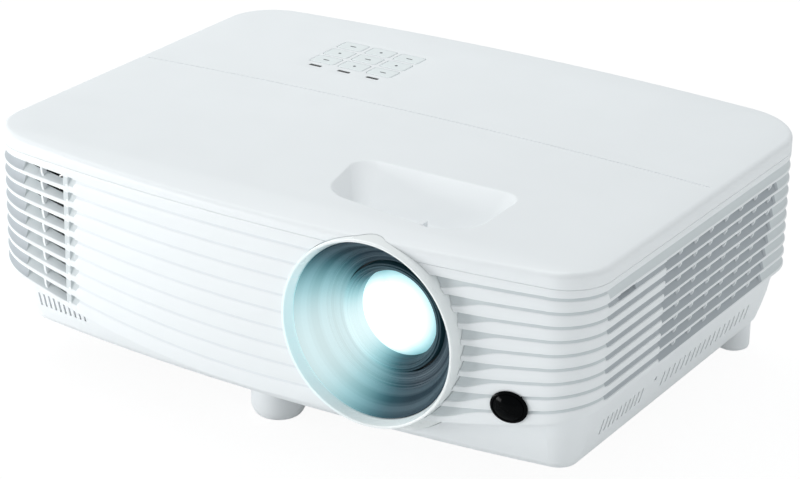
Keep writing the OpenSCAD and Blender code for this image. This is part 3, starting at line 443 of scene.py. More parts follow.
# colour, mottle, roughness from and to, grain, its height in mm, reflection, clear coat
PLASTICS = {
    "case_white": ((238, 241, 243), 0.008, (0.36, 0.46), 1100.0, 0.012, 0.35),
    "lens_ring_white": ((243, 246, 246), 0.008, (0.24, 0.32), 900.0, 0.006, 0.45, 0.25),
    "key_white": ((232, 238, 239), 0.01, (0.34, 0.44), 1100.0, 0.01, 0.35),
    # painted shade: the grey and pale tones below stand in for the shade in the grooves and vents
    "slope_painted_shade": ((214, 220, 222), 0.02, (0.45, 0.55), 900.0, 0.02, 0.3),
    "vent_painted_shade": ((178, 184, 189), 0.02, (0.45, 0.55), 900.0, 0.02, 0.3),
    "pale_painted_shade": ((229, 233, 236), 0.02, (0.45, 0.55), 900.0, 0.02, 0.3),
    # painted shade: a dark inner skin for the shade inside the case behind the vents
    "inside_painted_shade": ((38, 39, 41), 0.06, (0.55, 0.7), 700.0, 0.02, 0.2),
    "panel_grey": ((150, 155, 161), 0.03, (0.45, 0.6), 700.0, 0.04, 0.3),
    "mark_dark": ((70, 76, 82), 0.05, (0.4, 0.5), 900.0, 0.005, 0.3),
    "led_black": ((26, 29, 32), 0.05, (0.12, 0.2), 900.0, 0.003, 0.5),
    "barrel_black": ((38, 42, 46), 0.08, (0.3, 0.42), 900.0, 0.02, 0.4),
    "window_black": ((4, 5, 6), 0.1, (0.10, 0.14), 500.0, 0.002, 0.04),
    "lamp_plastic": ((66, 67, 70), 0.06, (0.5, 0.65), 600.0, 0.05),
    "inlet_black": ((24, 24, 25), 0.08, (0.4, 0.55), 700.0, 0.03),
    "fan_black": ((34, 35, 37), 0.08, (0.45, 0.6), 700.0, 0.03),
    "filter_grey": ((96, 97, 99), 0.2, (0.8, 0.95), 1600.0, 0.2, 0.1),
}
# colour, roughness from and to, stretch of the streaks along x, y and z, mottle, strength of the relief
METALS = {
    "port_metal": ((176, 178, 182),),
    "engine_metal": ((176, 178, 180), (0.45, 0.6), (1, 1, 1), 0.08, 0.5),
    "heat_sink_metal": ((190, 192, 196), (0.3, 0.45), (1, 40, 1)),
    "motor_metal": ((150, 152, 155),),
    "stem_metal": ((178, 180, 182), (0.25, 0.4), (1, 1, 60)),
    "insert_brass": ((196, 158, 82), (0.25, 0.4), (1, 1, 60)),
    "screw_steel": ((140, 142, 146), (0.3, 0.45), (1, 1, 60)),
    "reflector_glass": ((226, 228, 232), (0.04, 0.1), (1, 1, 1), 0.02, 0.05),
}
M = {name: moulded(name, srgb(*colour), *look) for name, (colour, *look) in PLASTICS.items()}
M.update({name: metal(name, srgb(*colour), *look) for name, (colour, *look) in METALS.items()})
M["board_green"] = board("board_green", srgb(20, 84, 48), srgb(46, 130, 76))
M["board_tan"] = board("board_tan", srgb(150, 118, 66), srgb(176, 146, 88))
M["lens_glass"] = glass("lens_glass", srgb(215, 240, 245))
M["wheel_glass"] = glass("wheel_glass", srgb(160, 190, 230))

# ---- painted light from the lamp round the lens: glow on the glass, the funnel, the cell and the ring
GLOW_SIDE, SPILL_SIDE = 207.0, 192.0  # its direction round the lens axis, in degrees
BLACK, FULL = (0.0, 0.0, 0.0), (1.0, 1.0, 1.0)
# colours of the painted glow on the funnel and the cell, and of the painted spill on the ring
GLOW = [(0.0, BLACK), (0.3, (0.0, 0.03, 0.04)), (0.52, (0.06, 0.2, 0.23)), (0.78, (0.36, 0.68, 0.72)),
        (1.0, (0.85, 1.0, 1.0))]
SPILL = [(0.0, BLACK), (0.5, (0.0, 0.02, 0.025)), (1.0, (0.05, 0.24, 0.27))]


def axis_radius(tree):
    """Distance from the lens axis and the direction round it, from the object's own coordinates."""
    place = add(tree, "TexCoord")
    from_axis = add(tree, "VectorMath", {1: (LENS_X * MM, 0, LENS_Z * MM)}, operation="SUBTRACT")
    flat = add(tree, "VectorMath", {1: (1, 0, 1)}, operation="MULTIPLY")
    length = add(tree, "VectorMath", operation="LENGTH")
    tree.links.new(place.outputs["Object"], from_axis.inputs[0])
    tree.links.new(from_axis.outputs["Vector"], flat.inputs[0])
    tree.links.new(flat.outputs["Vector"], length.inputs[0])
    return length.outputs["Value"], flat.outputs["Vector"]


def side_glow(tree, direction, stops):
    """Painted light on one side of the lens: full towards one direction round the axis, none away from it.
    """
    a = radians(direction)
    dot = add(tree, "VectorMath", {1: (cos(a), 0.0, sin(a))}, operation="DOT_PRODUCT")
    unit = add(tree, "VectorMath", operation="NORMALIZE")
    _, flat = axis_radius(tree)
    tree.links.new(flat, unit.inputs[0])
    tree.links.new(unit.outputs["Vector"], dot.inputs[0])
    ramp_node = add(tree, "ValToRGB")
    ramp_node.color_ramp.interpolation = "B_SPLINE"
    stop = ramp_node.color_ramp.elements
    stop[0].position, stop[0].color = stops[0][0], (*stops[0][1], 1)
    stop[1].position, stop[1].color = stops[-1][0], (*stops[-1][1], 1)
    for place, colour in stops[1:-1]:
        stop.new(place).color = (*colour, 1)
    tree.links.new(dot.outputs["Value"], ramp_node.inputs["Fac"])
    return ramp_node.outputs["Color"]


def glow_painted_plastic(name, dark, light, glow):
    """Dark slate plastic in bands round the axis, with the lamp's cyan light painted on one side as glow."""
    mat, tree, sh, _ = new_material(name)
    vec = coords(tree)
    radius, _ = axis_radius(tree)
    bands = add(tree, "TexNoise", {"Scale": 420.0, "Detail": 2.0}, noise_dimensions="1D")
    tree.links.new(radius, bands.inputs["W"])
    tone = tint(tree, span(tree, bands.outputs["Fac"], 0, 1, 0.35, 0.65), dark, light)
    tree.links.new(tone, sh.inputs["Base Color"])
    tree.links.new(span(tree, noise(tree, vec, 90.0), 0.5, 0.62), sh.inputs["Roughness"])
    bump(tree, sh, noise(tree, vec, 900.0, 2.0), 0.3, 0.00002)
    tree.links.new(side_glow(tree, GLOW_SIDE, GLOW), sh.inputs["Emission Color"])
    put(sh, {"Specular IOR Level": 0.25, "Emission Strength": glow})
    return mat


def glow_painted_glass(name, core, edge, strength):
    """Front glass with the lamp's light behind it painted in as glow: white, and cyan over a darker base
    colour at the rim away from the lamp.
    """
    mat, tree, sh, _ = new_material(name)
    radius, _ = axis_radius(tree)
    rim = span(tree, radius, 0.0, 1.0, core * MM, edge * MM)
    away = add(tree, "Math", operation="SUBTRACT", use_clamp=True)
    tree.links.new(rim, away.inputs[0])
    tree.links.new(side_glow(tree, GLOW_SIDE, [(0.0, BLACK), (1.0, FULL)]), away.inputs[1])
    out = away.outputs["Value"]
    tree.links.new(tint(tree, out, FULL, srgb(120, 222, 232)), sh.inputs["Emission Color"])
    tree.links.new(span(tree, out, strength, 0.5, 0.0, 1.0), sh.inputs["Emission Strength"])
    tree.links.new(tint(tree, out, srgb(225, 245, 248), srgb(110, 150, 160)), sh.inputs["Base Color"])
    tree.links.new(span(tree, noise(tree, coords(tree), 40.0), 0.03, 0.07), sh.inputs["Roughness"])
    put(sh, {"Coat Weight": 0.8, "Coat Roughness": 0.03})
    return mat


# the funnel: slate plastic with the lamp's cyan light painted on as glow
M["hood_slate_painted_glow"] = glow_painted_plastic("hood_slate_painted_glow", srgb(44, 60, 72), srgb(92, 108, 118), 0.8)
# the front glass: the lamp's light painted in as glow
M["lens_painted_glow"] = glow_painted_glass("lens_painted_glow", 9.0, 20.0, 1.15)
# the front cell: dark plastic with the lamp's cyan light painted on as glow
M["cell_painted_glow"] = glow_painted_plastic("cell_painted_glow", srgb(26, 44, 54), srgb(76, 100, 110), 0.95)
# painted light: a faint cyan glow on the lens ring's side, for the lamp's light spilling onto it
ring_tree = M["lens_ring_white"].node_tree
ring_shader = next(n for n in ring_tree.nodes if n.type == "BSDF_PRINCIPLED")
ring_tree.links.new(side_glow(ring_tree, SPILL_SIDE, SPILL), ring_shader.inputs["Emission Color"])
put(ring_shader, {"Emission Strength": 1.0})

# ---- materials of the CAD nodes
slot_of = {s["node"]: s["material_slot"] for s in frame["record"]["subparts"]}
# looks with another name than the slot, and two rings that are painted like the case
look_of_slot = {"hood_dark": "hood_slate_painted_glow", "cell_black": "barrel_black", "foot_white": "case_white"}
look_of_node = {"zoom_ring": "case_white", "focus_ring": "case_white"}
for node_name, obj in frame["nodes"].items():
    slot_name = slot_of[node_name]
    look = look_of_node.get(node_name, look_of_slot.get(slot_name, slot_name))
    obj.data.materials.clear()
    obj.data.materials.append(M[look])
    for p in obj.data.polygons:
        p.material_index = 0

# ---- waist with its louvres
LIP = 0.22  # wall left standing at each end of an opening
SHUT = 0.25  # height of the top lip of a groove that isn't open
SLOT_X = (-131.0, -119.25, -105.5)  # edges of the two columns of open vents at the front left
FRAME_X = -104.1  # end of the wall that frames them
BLIND = (-102.7, -99.4)  # column of closed pockets beside them
MID = (-98.0, 75.0)  # shallow grooves across the middle of the front
REAR_FIELD = (-129.5, 113.5)  # plain ribs round the rear panel
SLOT_PITCH = 14.9
right_vent, left_vent = (-39.0, 71.7), (-58.0, 52.0)
long_slot = (-81.0, -66.0)
TURN_Y = -90.0  # in front of this the right side's grooves fade towards the corner
front_open = (SLOT_X[0], SLOT_X[2])
SLANT = 1.6 / PITCH
LEAN = 14.5  # length over which the rear end of a vent leans
# the extra materials are painted shade: grey on groove slopes and in vents, pale in the front's shallow
# grooves, dark inside
SLOPE_SHADE, VENT_SHADE, INSIDE_SHADE, PALE_SHADE = 1, 2, 3, 4  # material numbers beside the skin's own white
Groove = namedtuple("Groove", "depth top bottom foot gap")


def marks_of(ranges):
    """Both edges of the lips at the ends of each range."""
    out = []
    for a, b in ranges:
        out += [a, a + LIP, b - LIP, b]
    return out


front_marks = marks_of([front_open, BLIND]) + [-127, SLOT_X[1], -104.2, -104, MID[0], -96, 10, MID[1]]
front_marks += [84, 88, 92, 96, 100, 104, 108, 112, 116, 121, 126]
right_marks = marks_of([right_vent, long_slot]) + [right_vent[1] - 14.0, 76.0, 80.0, TURN_Y, -86.0]
left_marks = marks_of([left_vent]) + [left_vent[1] - 14.0]
st = stations(front_marks, right_marks, left_marks, step=2.5)


def within(v, field):
    return field[0] + LIP - 1e-6 <= v <= field[1] - LIP + 1e-6


def ring_edge(z):
    """How far to the right the lens ring reaches at one height."""
    h = z - LENS_Z
    return LENS_X + sqrt(max(0.0, BEZEL_ROOT**2 - h * h))


def front_groove(k, x):
    """Open vents, closed pockets, shallow grooves and, past the ring, hollows that fade away."""
    if x < FRAME_X:
        if within(x, front_open):
            first = x < SLOT_X[1]
            a, b = SLOT_X[:2] if first else SLOT_X[1:]
            t = min(1.0, max(0.0, (x - a) / (b - a)))
            return Groove(WALL, 0.4, -4.6, 0.3, lerp(1.5, 3.3, t) if first else lerp(2.5, 3.7, t))
        if x < front_open[0] + LIP:
            return Groove(2.2, 0.4, -4.6, 0.3, SHUT)
        return Groove(0.0, 0.4, -4.6, 0.0, SHUT)
    if within(x, BLIND):
        return Groove(2.0, 0.4, -3.9, 0.3, SHUT)
    if x < MID[0]:
        return Groove(0.0, 0.2, -3.4, 0.0, SHUT)
    if x < MID[1]:
        depth, height = ramp(x, MID[0], -86, 0.7, 0.6), ramp(x, MID[0], -86, 1.6, 1.25)
        return Groove(depth, 0.0, -height, 0.25, SHUT)
    t = smooth((x - ring_edge(groove_top(k, x) - 2.0) - 1.5) / 17.0)
    at_ring, faded = (2.8, 0.3, 4.5, 0.9, 1.0), (1.1, 0.0, 1.5, 0.28, 0.4)
    depth, top, height, foot, gap = (lerp(a, b, t) for a, b in zip(at_ring, faded))
    return Groove(depth, top, -height, foot, gap)


def groove_at(k, s):
    """Groove k at one station: depth under its top lip, top and bottom measured from its height,
    depth at its foot, and height of the opening, which goes through where the depth is WALL."""
    x, y, _, _, part = s
    plain = Groove(2.2, 0.2, -4.65, 0.3, 0.5)
    if part == "front":
        return front_groove(k, x)
    if part == "fr":
        return Groove(1.1, 0.0, -1.6, 0.3, 0.5)
    if part in ("right", "br") and k == 1:
        return Groove(1.2, 0.2, -4.65, 0.2, 0.5)
    if part == "right":
        if k >= 2 and within(y, right_vent):
            return Groove(WALL, 0.3, -4.65, 0.3, 0.9)
        if k == 2 and within(y, long_slot):
            return Groove(WALL, 0.3, -3.0, 0.5, 1.8)
        if y < right_vent[0] + 0.5:
            t = smooth((y + 98.0) / 12.0)
            return Groove(lerp(1.1, 1.5, t), 0.0, -lerp(1.6, 2.9, t), lerp(0.3, 0.5, t), 0.5)
        return plain
    if part == "left":
        if within(y, left_vent):
            return Groove(WALL, 0.3, -4.65, 0.3, 0.9)
        return Groove(2.2, 0.3, -4.2, 0.3, 0.5) if y < left_vent[0] + 0.5 else plain
    if part == "br":
        return plain
    if part == "back" and REAR_FIELD[0] < x < REAR_FIELD[1]:
        return Groove(0.0, 0.0, -2.4, 0.0, SHUT)
    if part == "fl":
        return Groove(2.2, 0.4, -4.6, 0.3, SHUT)
    return Groove(1.6, 0.1, -3.2, 0.3, 0.5)


def groove_section(g, z):
    """One groove as (depth, height) points, from its rounded top lip down to the next rib."""
    top, low = z + g.top, z + g.bottom
    return [
        (0.0, top + 0.30),
        (min(0.07, g.depth), top + 0.08),
        (min(0.28, g.depth), top),
        (g.depth, top),
        (g.depth, top - g.gap),
        (lerp(g.depth, g.foot, 0.5), lerp(top - g.gap, low + 0.1, 0.5)),
        (g.foot, low + 0.1),
        (min(0.1, g.foot), low - 0.1),
        (0.0, low - 0.35),
    ]


GAP_ROW, SLOPE_ROWS = 3, (4, 5)  # rows of a section from which the opening and the slope start


def leaning(s, z):
    """Both ends of a side vent lean forward towards the bottom."""
    x, y, nx, ny, part = s
    if part in ("right", "left"):
        start, end = right_vent if part == "right" else left_vent
        down = max(0.0, groove_top(2, HW) - z)
        if end - LEAN < y < end + 2.2:
            y -= min(max(0.0, down * SLANT - 0.8), 11.0) * min(1.0, (y - end + LEAN) / (LEAN - LIP))
        elif start - 4.0 < y < start + 4.0:
            y -= down * 0.06 * (1 - abs(y - start) / 4.0)
    return x, y, nx, ny


def slope_tone(k, s):
    """Painted shade on a groove's slope: dark in the vents, pale across the middle of the front."""
    x, y, _, _, part = s
    if part == "right" and k > 1 and TURN_Y < y < right_vent[1] + 1:
        return VENT_SHADE
    if part == "fl" or (part == "left" and y < left_vent[1] + 1):
        return VENT_SHADE
    if part == "front" and x < front_open[0]:
        return VENT_SHADE
    return PALE_SHADE if part == "front" and MID[0] <= x < MID[1] else SLOPE_SHADE


def shell_mesh():
    """The waist: an outer skin with its grooves and an inner skin, open where the vents are."""
    n = len(st)
    top_edge = ((0.45, SEAM_Z), (0.12, SEAM_Z - 0.12), (0.0, SEAM_Z - 0.45))
    low_edge = ((0.0, 0.45), (0.1, 0.12), (0.45, 0.0))
    outer = [[(s, d, z) for s in st] for d, z in top_edge]
    inner = [[(s, WALL, SEAM_Z) for s in st]]
    open_outer, open_inner, slopes = {}, {}, {}
    for k in range(1, GROOVES + 1):
        grooves = [groove_at(k, s) for s in st]
        heights = [groove_top(k, s[0]) for s in st]
        sections = [groove_section(g, z) for g, z in zip(grooves, heights)]
        gaps = [g.depth >= WALL - 1e-6 for g in grooves]
        open_outer[len(outer) + GAP_ROW] = gaps
        for row in SLOPE_ROWS:
            slopes[len(outer) + row] = k
        for points in zip(*sections):
            outer.append([(s, *p) for s, p in zip(st, points)])
        open_inner[len(inner)] = gaps
        inner.append([(s, WALL, z + g.top) for s, g, z in zip(st, grooves, heights)])
        inner.append([(s, WALL, z + g.top - g.gap) for s, g, z in zip(st, grooves, heights)])
    foot = [groove_top(GROOVES + 1, s[0]) for s in st]
    outer += [[(s, d, z + dz) for s, z in zip(st, foot)] for d, dz in low_edge]
    inner.append([(s, WALL, z) for s, z in zip(st, foot)])
    total = len(outer) + len(inner)
    verts = []
    for row in outer + inner[::-1]:
        for s, d, z in row:
            x, y, nx, ny = leaning(s, z)
            verts.append((x - nx * d, y - ny * d, z))
    gap_rows = dict(open_outer)
    gap_rows.update({total - 2 - r: gaps for r, gaps in open_inner.items()})

    def skip(r, c):
        gaps = gap_rows.get(r)
        return bool(gaps and gaps[c] and gaps[(c + 1) % n])

    faces = grid_faces(total, n, skip)
    last = (total - 1) * n
    faces += [(last + c, last + (c + 1) % n, (c + 1) % n, c) for c in range(n)]
    # painted shade: groove slopes get grey, darker in the vents
    tones = {}
    for i, f in enumerate(faces):
        r, c = divmod(f[0], n)
        # painted shade: the inner skin is dark, for the shade inside the case seen through the vents
        if len(outer) < r < total - 1:
            tones[i] = INSIDE_SHADE
        elif r in slopes:
            tones[i] = slope_tone(slopes[r], st[c])
    return verts, faces, tones


def ring_cutter(gap, foot):
    """A cone that leaves a gap round the lens ring; foot is its profile behind the ring."""
    ahead = 8
    end = [(RIM_R + gap - FLANK * ahead, RIM_H + ahead), (0.001, RIM_H + ahead)]
    return scratch("cone", *lathe(foot + end + foot[:1], 256))


# the remote-control window sits a little lower than its solid and is slightly oval
eye_at = shift(EYE_X, wall_y(EYE_X), EYE_Z - 1.9) @ Matrix.Rotation(asin(EYE_X / FRONT_R), 4, "Z")
eye_at = eye_at @ turn("X", 90) @ Matrix.Diagonal((0.95, 0.80, 1.0, 1.0))


def on_eye(profile):
    """A profile turned round the window's axis."""
    verts, faces = lathe(profile, 96, "z", (0, 0, 0))
    return [tuple(eye_at @ Vector(p)) for p in verts], faces


verts, faces, tones = shell_mesh()
shell = make("louvre_shell_skin", verts, faces, M["case_white"], body=None, sharp=30.0, tones=tones)
# painted shade for the grooves, the vents and the inner skin
for tone in ("slope_painted_shade", "vent_painted_shade", "inside_painted_shade", "pale_painted_shade"):
    shell.data.materials.append(M[tone])
shell_gap = BEZEL_ROOT + 0.2
cut(shell, ring_cutter(0.2, [(0.001, 100.0), (shell_gap, 100.0), (shell_gap, BEZEL_BACK)]))
eye_hole = [(0.001, -14), (EYE_R + 0.25, -14), (EYE_R + 0.25, 9), (0.001, 9), (0.001, -14)]
cut(shell, scratch("eye_cut", *on_eye(eye_hole)))
cut(shell, scratch_box("rear_cut", (-124, 90, 53), (108, 135, 99)))
shade(shell, 30.0)
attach(shell, "case")
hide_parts("louvre_shell")


# ---- ties between the ribs of the open vents
def tie_bar(m, wide, top, drop, deep, back):
    """A tie between two ribs: flush with the wall at its top, set back at its foot."""
    section = [(0.05, top), (deep, top), (deep, -drop), (back, -drop), (back * 0.35, -drop * 0.45)]
    n = len(section)
    verts = [m @ Vector((w, d, z)) for w in (-wide / 2, wide / 2) for d, z in section]
    faces = [(i, (i + 1) % n, n + (i + 1) % n, n + i) for i in range(n)]
    faces += [tuple(range(n)), tuple(range(2 * n - 1, n - 1, -1))]
    return verts, faces


side_ties = []
for side, k0, (y0, y1) in ((1, 2, right_vent), (-1, 1, left_vent)):
    for k in range(k0, GROOVES + 1):
        z = groove_top(k, HW)
        last = y1 - 3.0 - max(0.0, (groove_top(2, HW) - z) * SLANT)
        for j in range(1, 8):
            y = y0 + j * SLOT_PITCH - (k - k0) * 0.3
            if y < last:
                m = shift(side * HW, y, z) @ turn("Z", 90 * side)
                side_ties.append(tie_bar(m, 1.0, 0.45, 2.3, 1.6, 1.1))
make("side_ties", *merged(side_ties), M["case_white"], slot="case_white", weld=False)
front_ties = []
for k in range(1, GROOVES + 1):
    for x, wide in ((SLOT_X[1], 1.25), (-104.9, 0.9)):
        m = shift(x, wall_y(x), groove_top(k, x)) @ turn("Z", degrees(asin(x / FRONT_R)))
        front_ties.append(tie_bar(m, wide, 0.7, 4.3, 3.0, 1.2))
make("front_ties", *merged(front_ties), M["case_white"], slot="case_white", weld=False)

# ---- outlines on the lid
EDGE = 2.6  # rounding of the lid's outer edge
RIM = 1.5  # width of the bowl's soft rim
LINE_CY, LINE_R, LINE_X, LINE_HALF, LINE_DEEP = 17 - 1607.0, 1607.1, 151.5, 0.3, 0.35  # fine arc line
# circles (x, y, radius) round which the bowl's rim and floor are drawn
BOWL_TOP = [(17, -54, 9), (81, -54.5, 9.5), (73, -79, 18), (31, -71, 19)]
BOWL_LOW = [(29, -76, 6), (79, -76, 6), (75, -84, 9), (37, -82, 9)]


def with_crossings(sts):
    """The stations with those added where the slope's line crosses the front corners."""
    out = []
    for s, after in zip(sts, sts[1:] + sts[:1]):
        out.append(s)
        if s[4] in ("fl", "fr"):
            sign, r = (-1, R_FL) if s[4] == "fl" else (1, R_FR)
            c = front_corner(sign, r)
            a = asin((BROW_Y - c[1]) / (r - EDGE))
            a = a if sign > 0 else pi - a
            y_at = c[1] + r * sin(a)
            if min(s[1], after[1]) < y_at - 0.05 and max(s[1], after[1]) > y_at + 0.05:
                out.append((c[0] + r * cos(a), y_at, cos(a), sin(a), s[4]))
    return out


def inset(d):
    """The lid's outline, moved inwards."""
    return [(x - nx * d, y - ny * d) for x, y, nx, ny, _ in lid_st]


def at_height(loop, z):
    return [(x, y, z) for x, y in loop]


def hull_loop(circles, n=176):
    """A band stretched round circles, as points with their outward directions."""
    out = []
    for i in range(n):
        a = 2 * pi * (i + 0.5) / n
        u = (cos(a), sin(a))
        c = max(circles, key=lambda q: q[0] * u[0] + q[1] * u[1] + q[2])
        out.append((c[0] + c[2] * u[0], c[1] + c[2] * u[1], u[0], u[1]))
    return out


def round_rect(cx, cy, w, d, r, n=5):
    out = []
    for sx, sy, a0 in ((1, 1, 0), (-1, 1, 90), (-1, -1, 180), (1, -1, 270)):
        for i in range(n + 1):
            a = radians(a0 + 90 * i / n)
            out.append((cx + sx * (w / 2 - r) + r * cos(a), cy + sy * (d / 2 - r) + r * sin(a)))
    return out


def grow_loop(loop, d):
    """A closed line moved outwards."""
    out = []
    for i, p in enumerate(loop):
        t = (Vector(loop[(i + 1) % len(loop)]) - Vector(loop[i - 1])).normalized()
        out.append((p[0] + t.y * d, p[1] - t.x * d))
    return out


def arc_line(offset):
    """Points along the fine line across the lid, from left to right."""
    xs = [lerp(-LINE_X, LINE_X, i / 60) for i in range(61)]
    return [(x, LINE_CY + sqrt((LINE_R + offset) ** 2 - x * x)) for x in xs]


lid_st = with_crossings(stations(step=5.0, turns=28))
outline = inset(EDGE)
bowl_top, bowl_low = hull_loop(BOWL_TOP), hull_loop(BOWL_LOW)
key_at = [(KEY_X + i * KEY_PX, KEY_Y + j * KEY_PY) for j in (1, 0, -1) for i in (-1, 0, 1)]
light_at = [(KEY_X + i * KEY_PX, KEY_Y - 21.6) for i in (-1, 0, 1)]
# openings for the keys and lights, each with the rounding of its rim
through = [(round_rect(x, y, KEY_W + 0.6, KEY_D + 0.6, 1.5), 0.2) for x, y in key_at]
through += [(round_rect(x, y, 6.9, 2.4, 0.5, 3), 0.12) for x, y in light_at]
rims = [grow_loop(loop, r) for loop, r in through]
arc_loop = arc_line(-LINE_HALF) + arc_line(LINE_HALF)[::-1]


# ---- lid
def inside(p, loop):
    hit = False
    for i, (x0, y0) in enumerate(loop):
        x1, y1 = loop[(i + 1) % len(loop)]
        if (y0 > p[1]) != (y1 > p[1]) and p[0] < (x1 - x0) * (p[1] - y0) / (y1 - y0) + x0:
            hit = not hit
    return hit


def brow_point(side):
    """Number of the outline's point where the slope's line ends on one side."""
    far = 1000
    gap = [abs(y - BROW_Y) + (far if x * side < 0 else 0) for x, y in outline]
    return gap.index(min(gap))


def lid_sheets():
    """Top and underside of the lid, filled in round the openings."""
    bowl_rim = [(x + nx * RIM, y + ny * RIM) for x, y, nx, ny in bowl_top]
    holes = [bowl_rim] + rims + [arc_loop]
    points, edges = [], []
    for loop in [outline] + holes:
        base = len(points)
        points += [Vector(p) for p in loop]
        edges += [(base + i, base + (i + 1) % len(loop)) for i in range(len(loop))]
    edges.append((brow_point(-1), brow_point(1)))
    # inner points keep the triangles short; they are set off the axes so that none meets a line
    points += [Vector((x * 10.0 + 1.37, y * 10.0 + 0.53)) for x in range(-14, 15) for y in range(-10, 11)]
    found, _, triangles, *_ = delaunay_2d_cdt(points, edges, [], 0, 1e-5)
    flat = []
    for f in triangles:
        c = sum((found[i] for i in f), Vector((0, 0))) / len(f)
        if inside(c, outline) and not any(inside(c, hole) for hole in holes):
            flat.append(tuple(f))
    top = [(v.x, v.y, brow_z(v.y)) for v in found]
    under = [(v.x, v.y, lid_under(v.y)) for v in found]
    return [(top, flat), (under, [f[::-1] for f in flat])]


def lid_edge():
    """Rounded outer edge, the wall down to the joint and its inner side."""
    rows = []
    for i in range(7):
        a = radians(90 * i / 6)
        d, drop = EDGE - EDGE * sin(a), EDGE * (1 - cos(a))
        rows.append([(x, y, brow_z(oy) - drop) for (x, y), (_, oy) in zip(inset(d), outline)])
    for d, z in ((0.0, 0.5), (0.1, 0.2), (0.35, 0.02), (WALL, 0.02)):
        rows.append(at_height(inset(d), SEAM_Z + z))
    inner = zip(inset(WALL), outline)
    rows.append([(x, y, min(110.4, lid_under(oy) - 0.3)) for (x, y), (_, oy) in inner])
    rows.append([(x, y, lid_under(y)) for x, y in outline])
    return [skin(rows)]


def bowl():
    """Soft rim, sloping sides, rounded foot and floor of the bowl, and the same from below."""
    cols, outer_cols = [], []
    for t, l in zip(bowl_top, bowl_low):
        bend = [
            (t[0] + t[2] * RIM, t[1] + t[3] * RIM, TOP_Z),
            (t[0], t[1], TOP_Z),
            (l[0], l[1], BOWL_Z),
            (l[0] - l[2] * 3.2, l[1] - l[3] * 3.2, BOWL_Z),
        ]
        top_bend, low_bend = (list(round_off(bend, i, r, 0.47, 6)) for i, r in ((1, 1.45), (2, 3.0)))
        cols.append([bend[0]] + top_bend + low_bend + [bend[-1]])
        outer_cols.append([
            (t[0] + t[2] * RIM, t[1] + t[3] * RIM, TOP_Z - LID_T),
            (t[0] + t[2] * 1.45, t[1] + t[3] * 1.45, TOP_Z - 2.6),
            (l[0] + l[2] * 1.6, l[1] + l[3] * 1.6, BOWL_Z - 1.8),
        ])
    parts = []
    for columns in (cols, outer_cols):
        rows = list(zip(*columns))
        parts += [skin(rows), (rows[-1], [tuple(range(len(columns)))])]
    return parts


def hole_walls():
    """Walls of the openings for the keys and lights, rounded at the top."""
    parts = []
    for (loop, rim), big in zip(through, rims):
        rows = [at_height(big, TOP_Z)]
        for i in range(1, 5):
            a = radians(90 * i / 4)
            t, z = rim * (1 - sin(a)) / rim, TOP_Z - rim * (1 - cos(a))
            rows.append([(lerp(p[0], q[0], t), lerp(p[1], q[1], t), z) for p, q in zip(loop, big)])
        parts.append(skin(rows + [at_height(loop, TOP_Z - 2.2), at_height(big, TOP_Z - LID_T)]))
    return parts


def line_groove():
    """The fine line across the lid: its walls, its floor and the underside below it."""
    floor_loop = at_height(grow_loop(arc_loop, -0.1), TOP_Z - LINE_DEEP)
    n = len(arc_loop)
    strip = [(i, i + 1, n - 2 - i, n - 1 - i) for i in range(n // 2 - 1)]
    walls = skin([at_height(arc_loop, TOP_Z), floor_loop])
    return [walls, (floor_loop, strip), (at_height(arc_loop, TOP_Z - LID_T), strip)]


lid_parts = lid_sheets() + lid_edge() + bowl() + hole_walls() + line_groove()
lid = make("top_cover_skin", *merged(lid_parts), M["case_white"], body=None, sharp=32.0)
lid_back = BEZEL_BACK - 0.15
cut(lid, ring_cutter(0.15, [(0.001, lid_back), (BEZEL_ROOT + 0.15, lid_back)]))
# the opening in the bowl's front for the focus and zoom levers
cut(lid, scratch_box("slot_cut", (LENS_X - 16.5, -90.5, 90), (LENS_X + 16.5, -74, BOWL_Z + 1.5)))
shade(lid, 32.0)
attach(lid, "case")
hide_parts("top_cover")


# ---- keys and status lights
def cushion(cx, cy, w, d, r, z0, z1, edge=0.45, dish=0.12):
    """Rounded key with a softened edge and a faint dish in its top."""
    base = round_rect(cx, cy, w, d, r)
    n = len(base)
    rows = [at_height(base, z0), at_height(base, z1 - edge)]
    for i in range(1, 6):
        a = radians(90 * i / 5)
        rows.append(at_height(grow_loop(base, -edge * (1 - cos(a))), z1 - edge * (1 - sin(a))))
    for s in (0.72, 0.4, 0.02):
        z = z1 - dish * (1 - s * s)
        rows.append([(lerp(cx, x, s), lerp(cy, y, s), z) for x, y in grow_loop(base, -edge)])
    v, f = skin(rows)
    return v, f + [tuple(range(n - 1, -1, -1)), tuple(range(len(v) - n, len(v)))]


STEM_R, STEM_Z0, STEM_Z1 = 2.0, 106.5, 110.2
stem_profile = [(STEM_R, STEM_Z0), (STEM_R, STEM_Z1), (0.01, STEM_Z1), (0.01, STEM_Z0), (STEM_R, STEM_Z0)]
for i, (x, y) in enumerate(key_at):
    key_name = "key_%d" % (i + 1)
    body = key_name + "_body"
    cap = cushion(x, y, KEY_W, KEY_D, 1.2, TOP_Z - 2.7, TOP_Z + 0.1)
    collar = cushion(x, y, KEY_W + 1.8, KEY_D + 1.8, 1.6, TOP_Z - 3.6, TOP_Z - 2.45, 0.2, 0.0)
    stem = lathe(stem_profile, 32, "z", (x, y, 0.0))
    key_mesh = merged([cap, collar, stem])
    key = make(key_name + "_cap", *key_mesh, M["key_white"], body=body, slot="key_white")
    w, d = (1.5, 1.5) if i % 2 else (3.4, 0.8)  # a dot or a dash
    mark = cushion(x, y, w, d, min(w, d) / 2 - 0.02, TOP_Z - 0.2, TOP_Z + 0.03, 0.02, 0.0)
    make(key_name + "_mark", *mark, M["mark_dark"], body=body, slot="key_white")
    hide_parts(key_name)

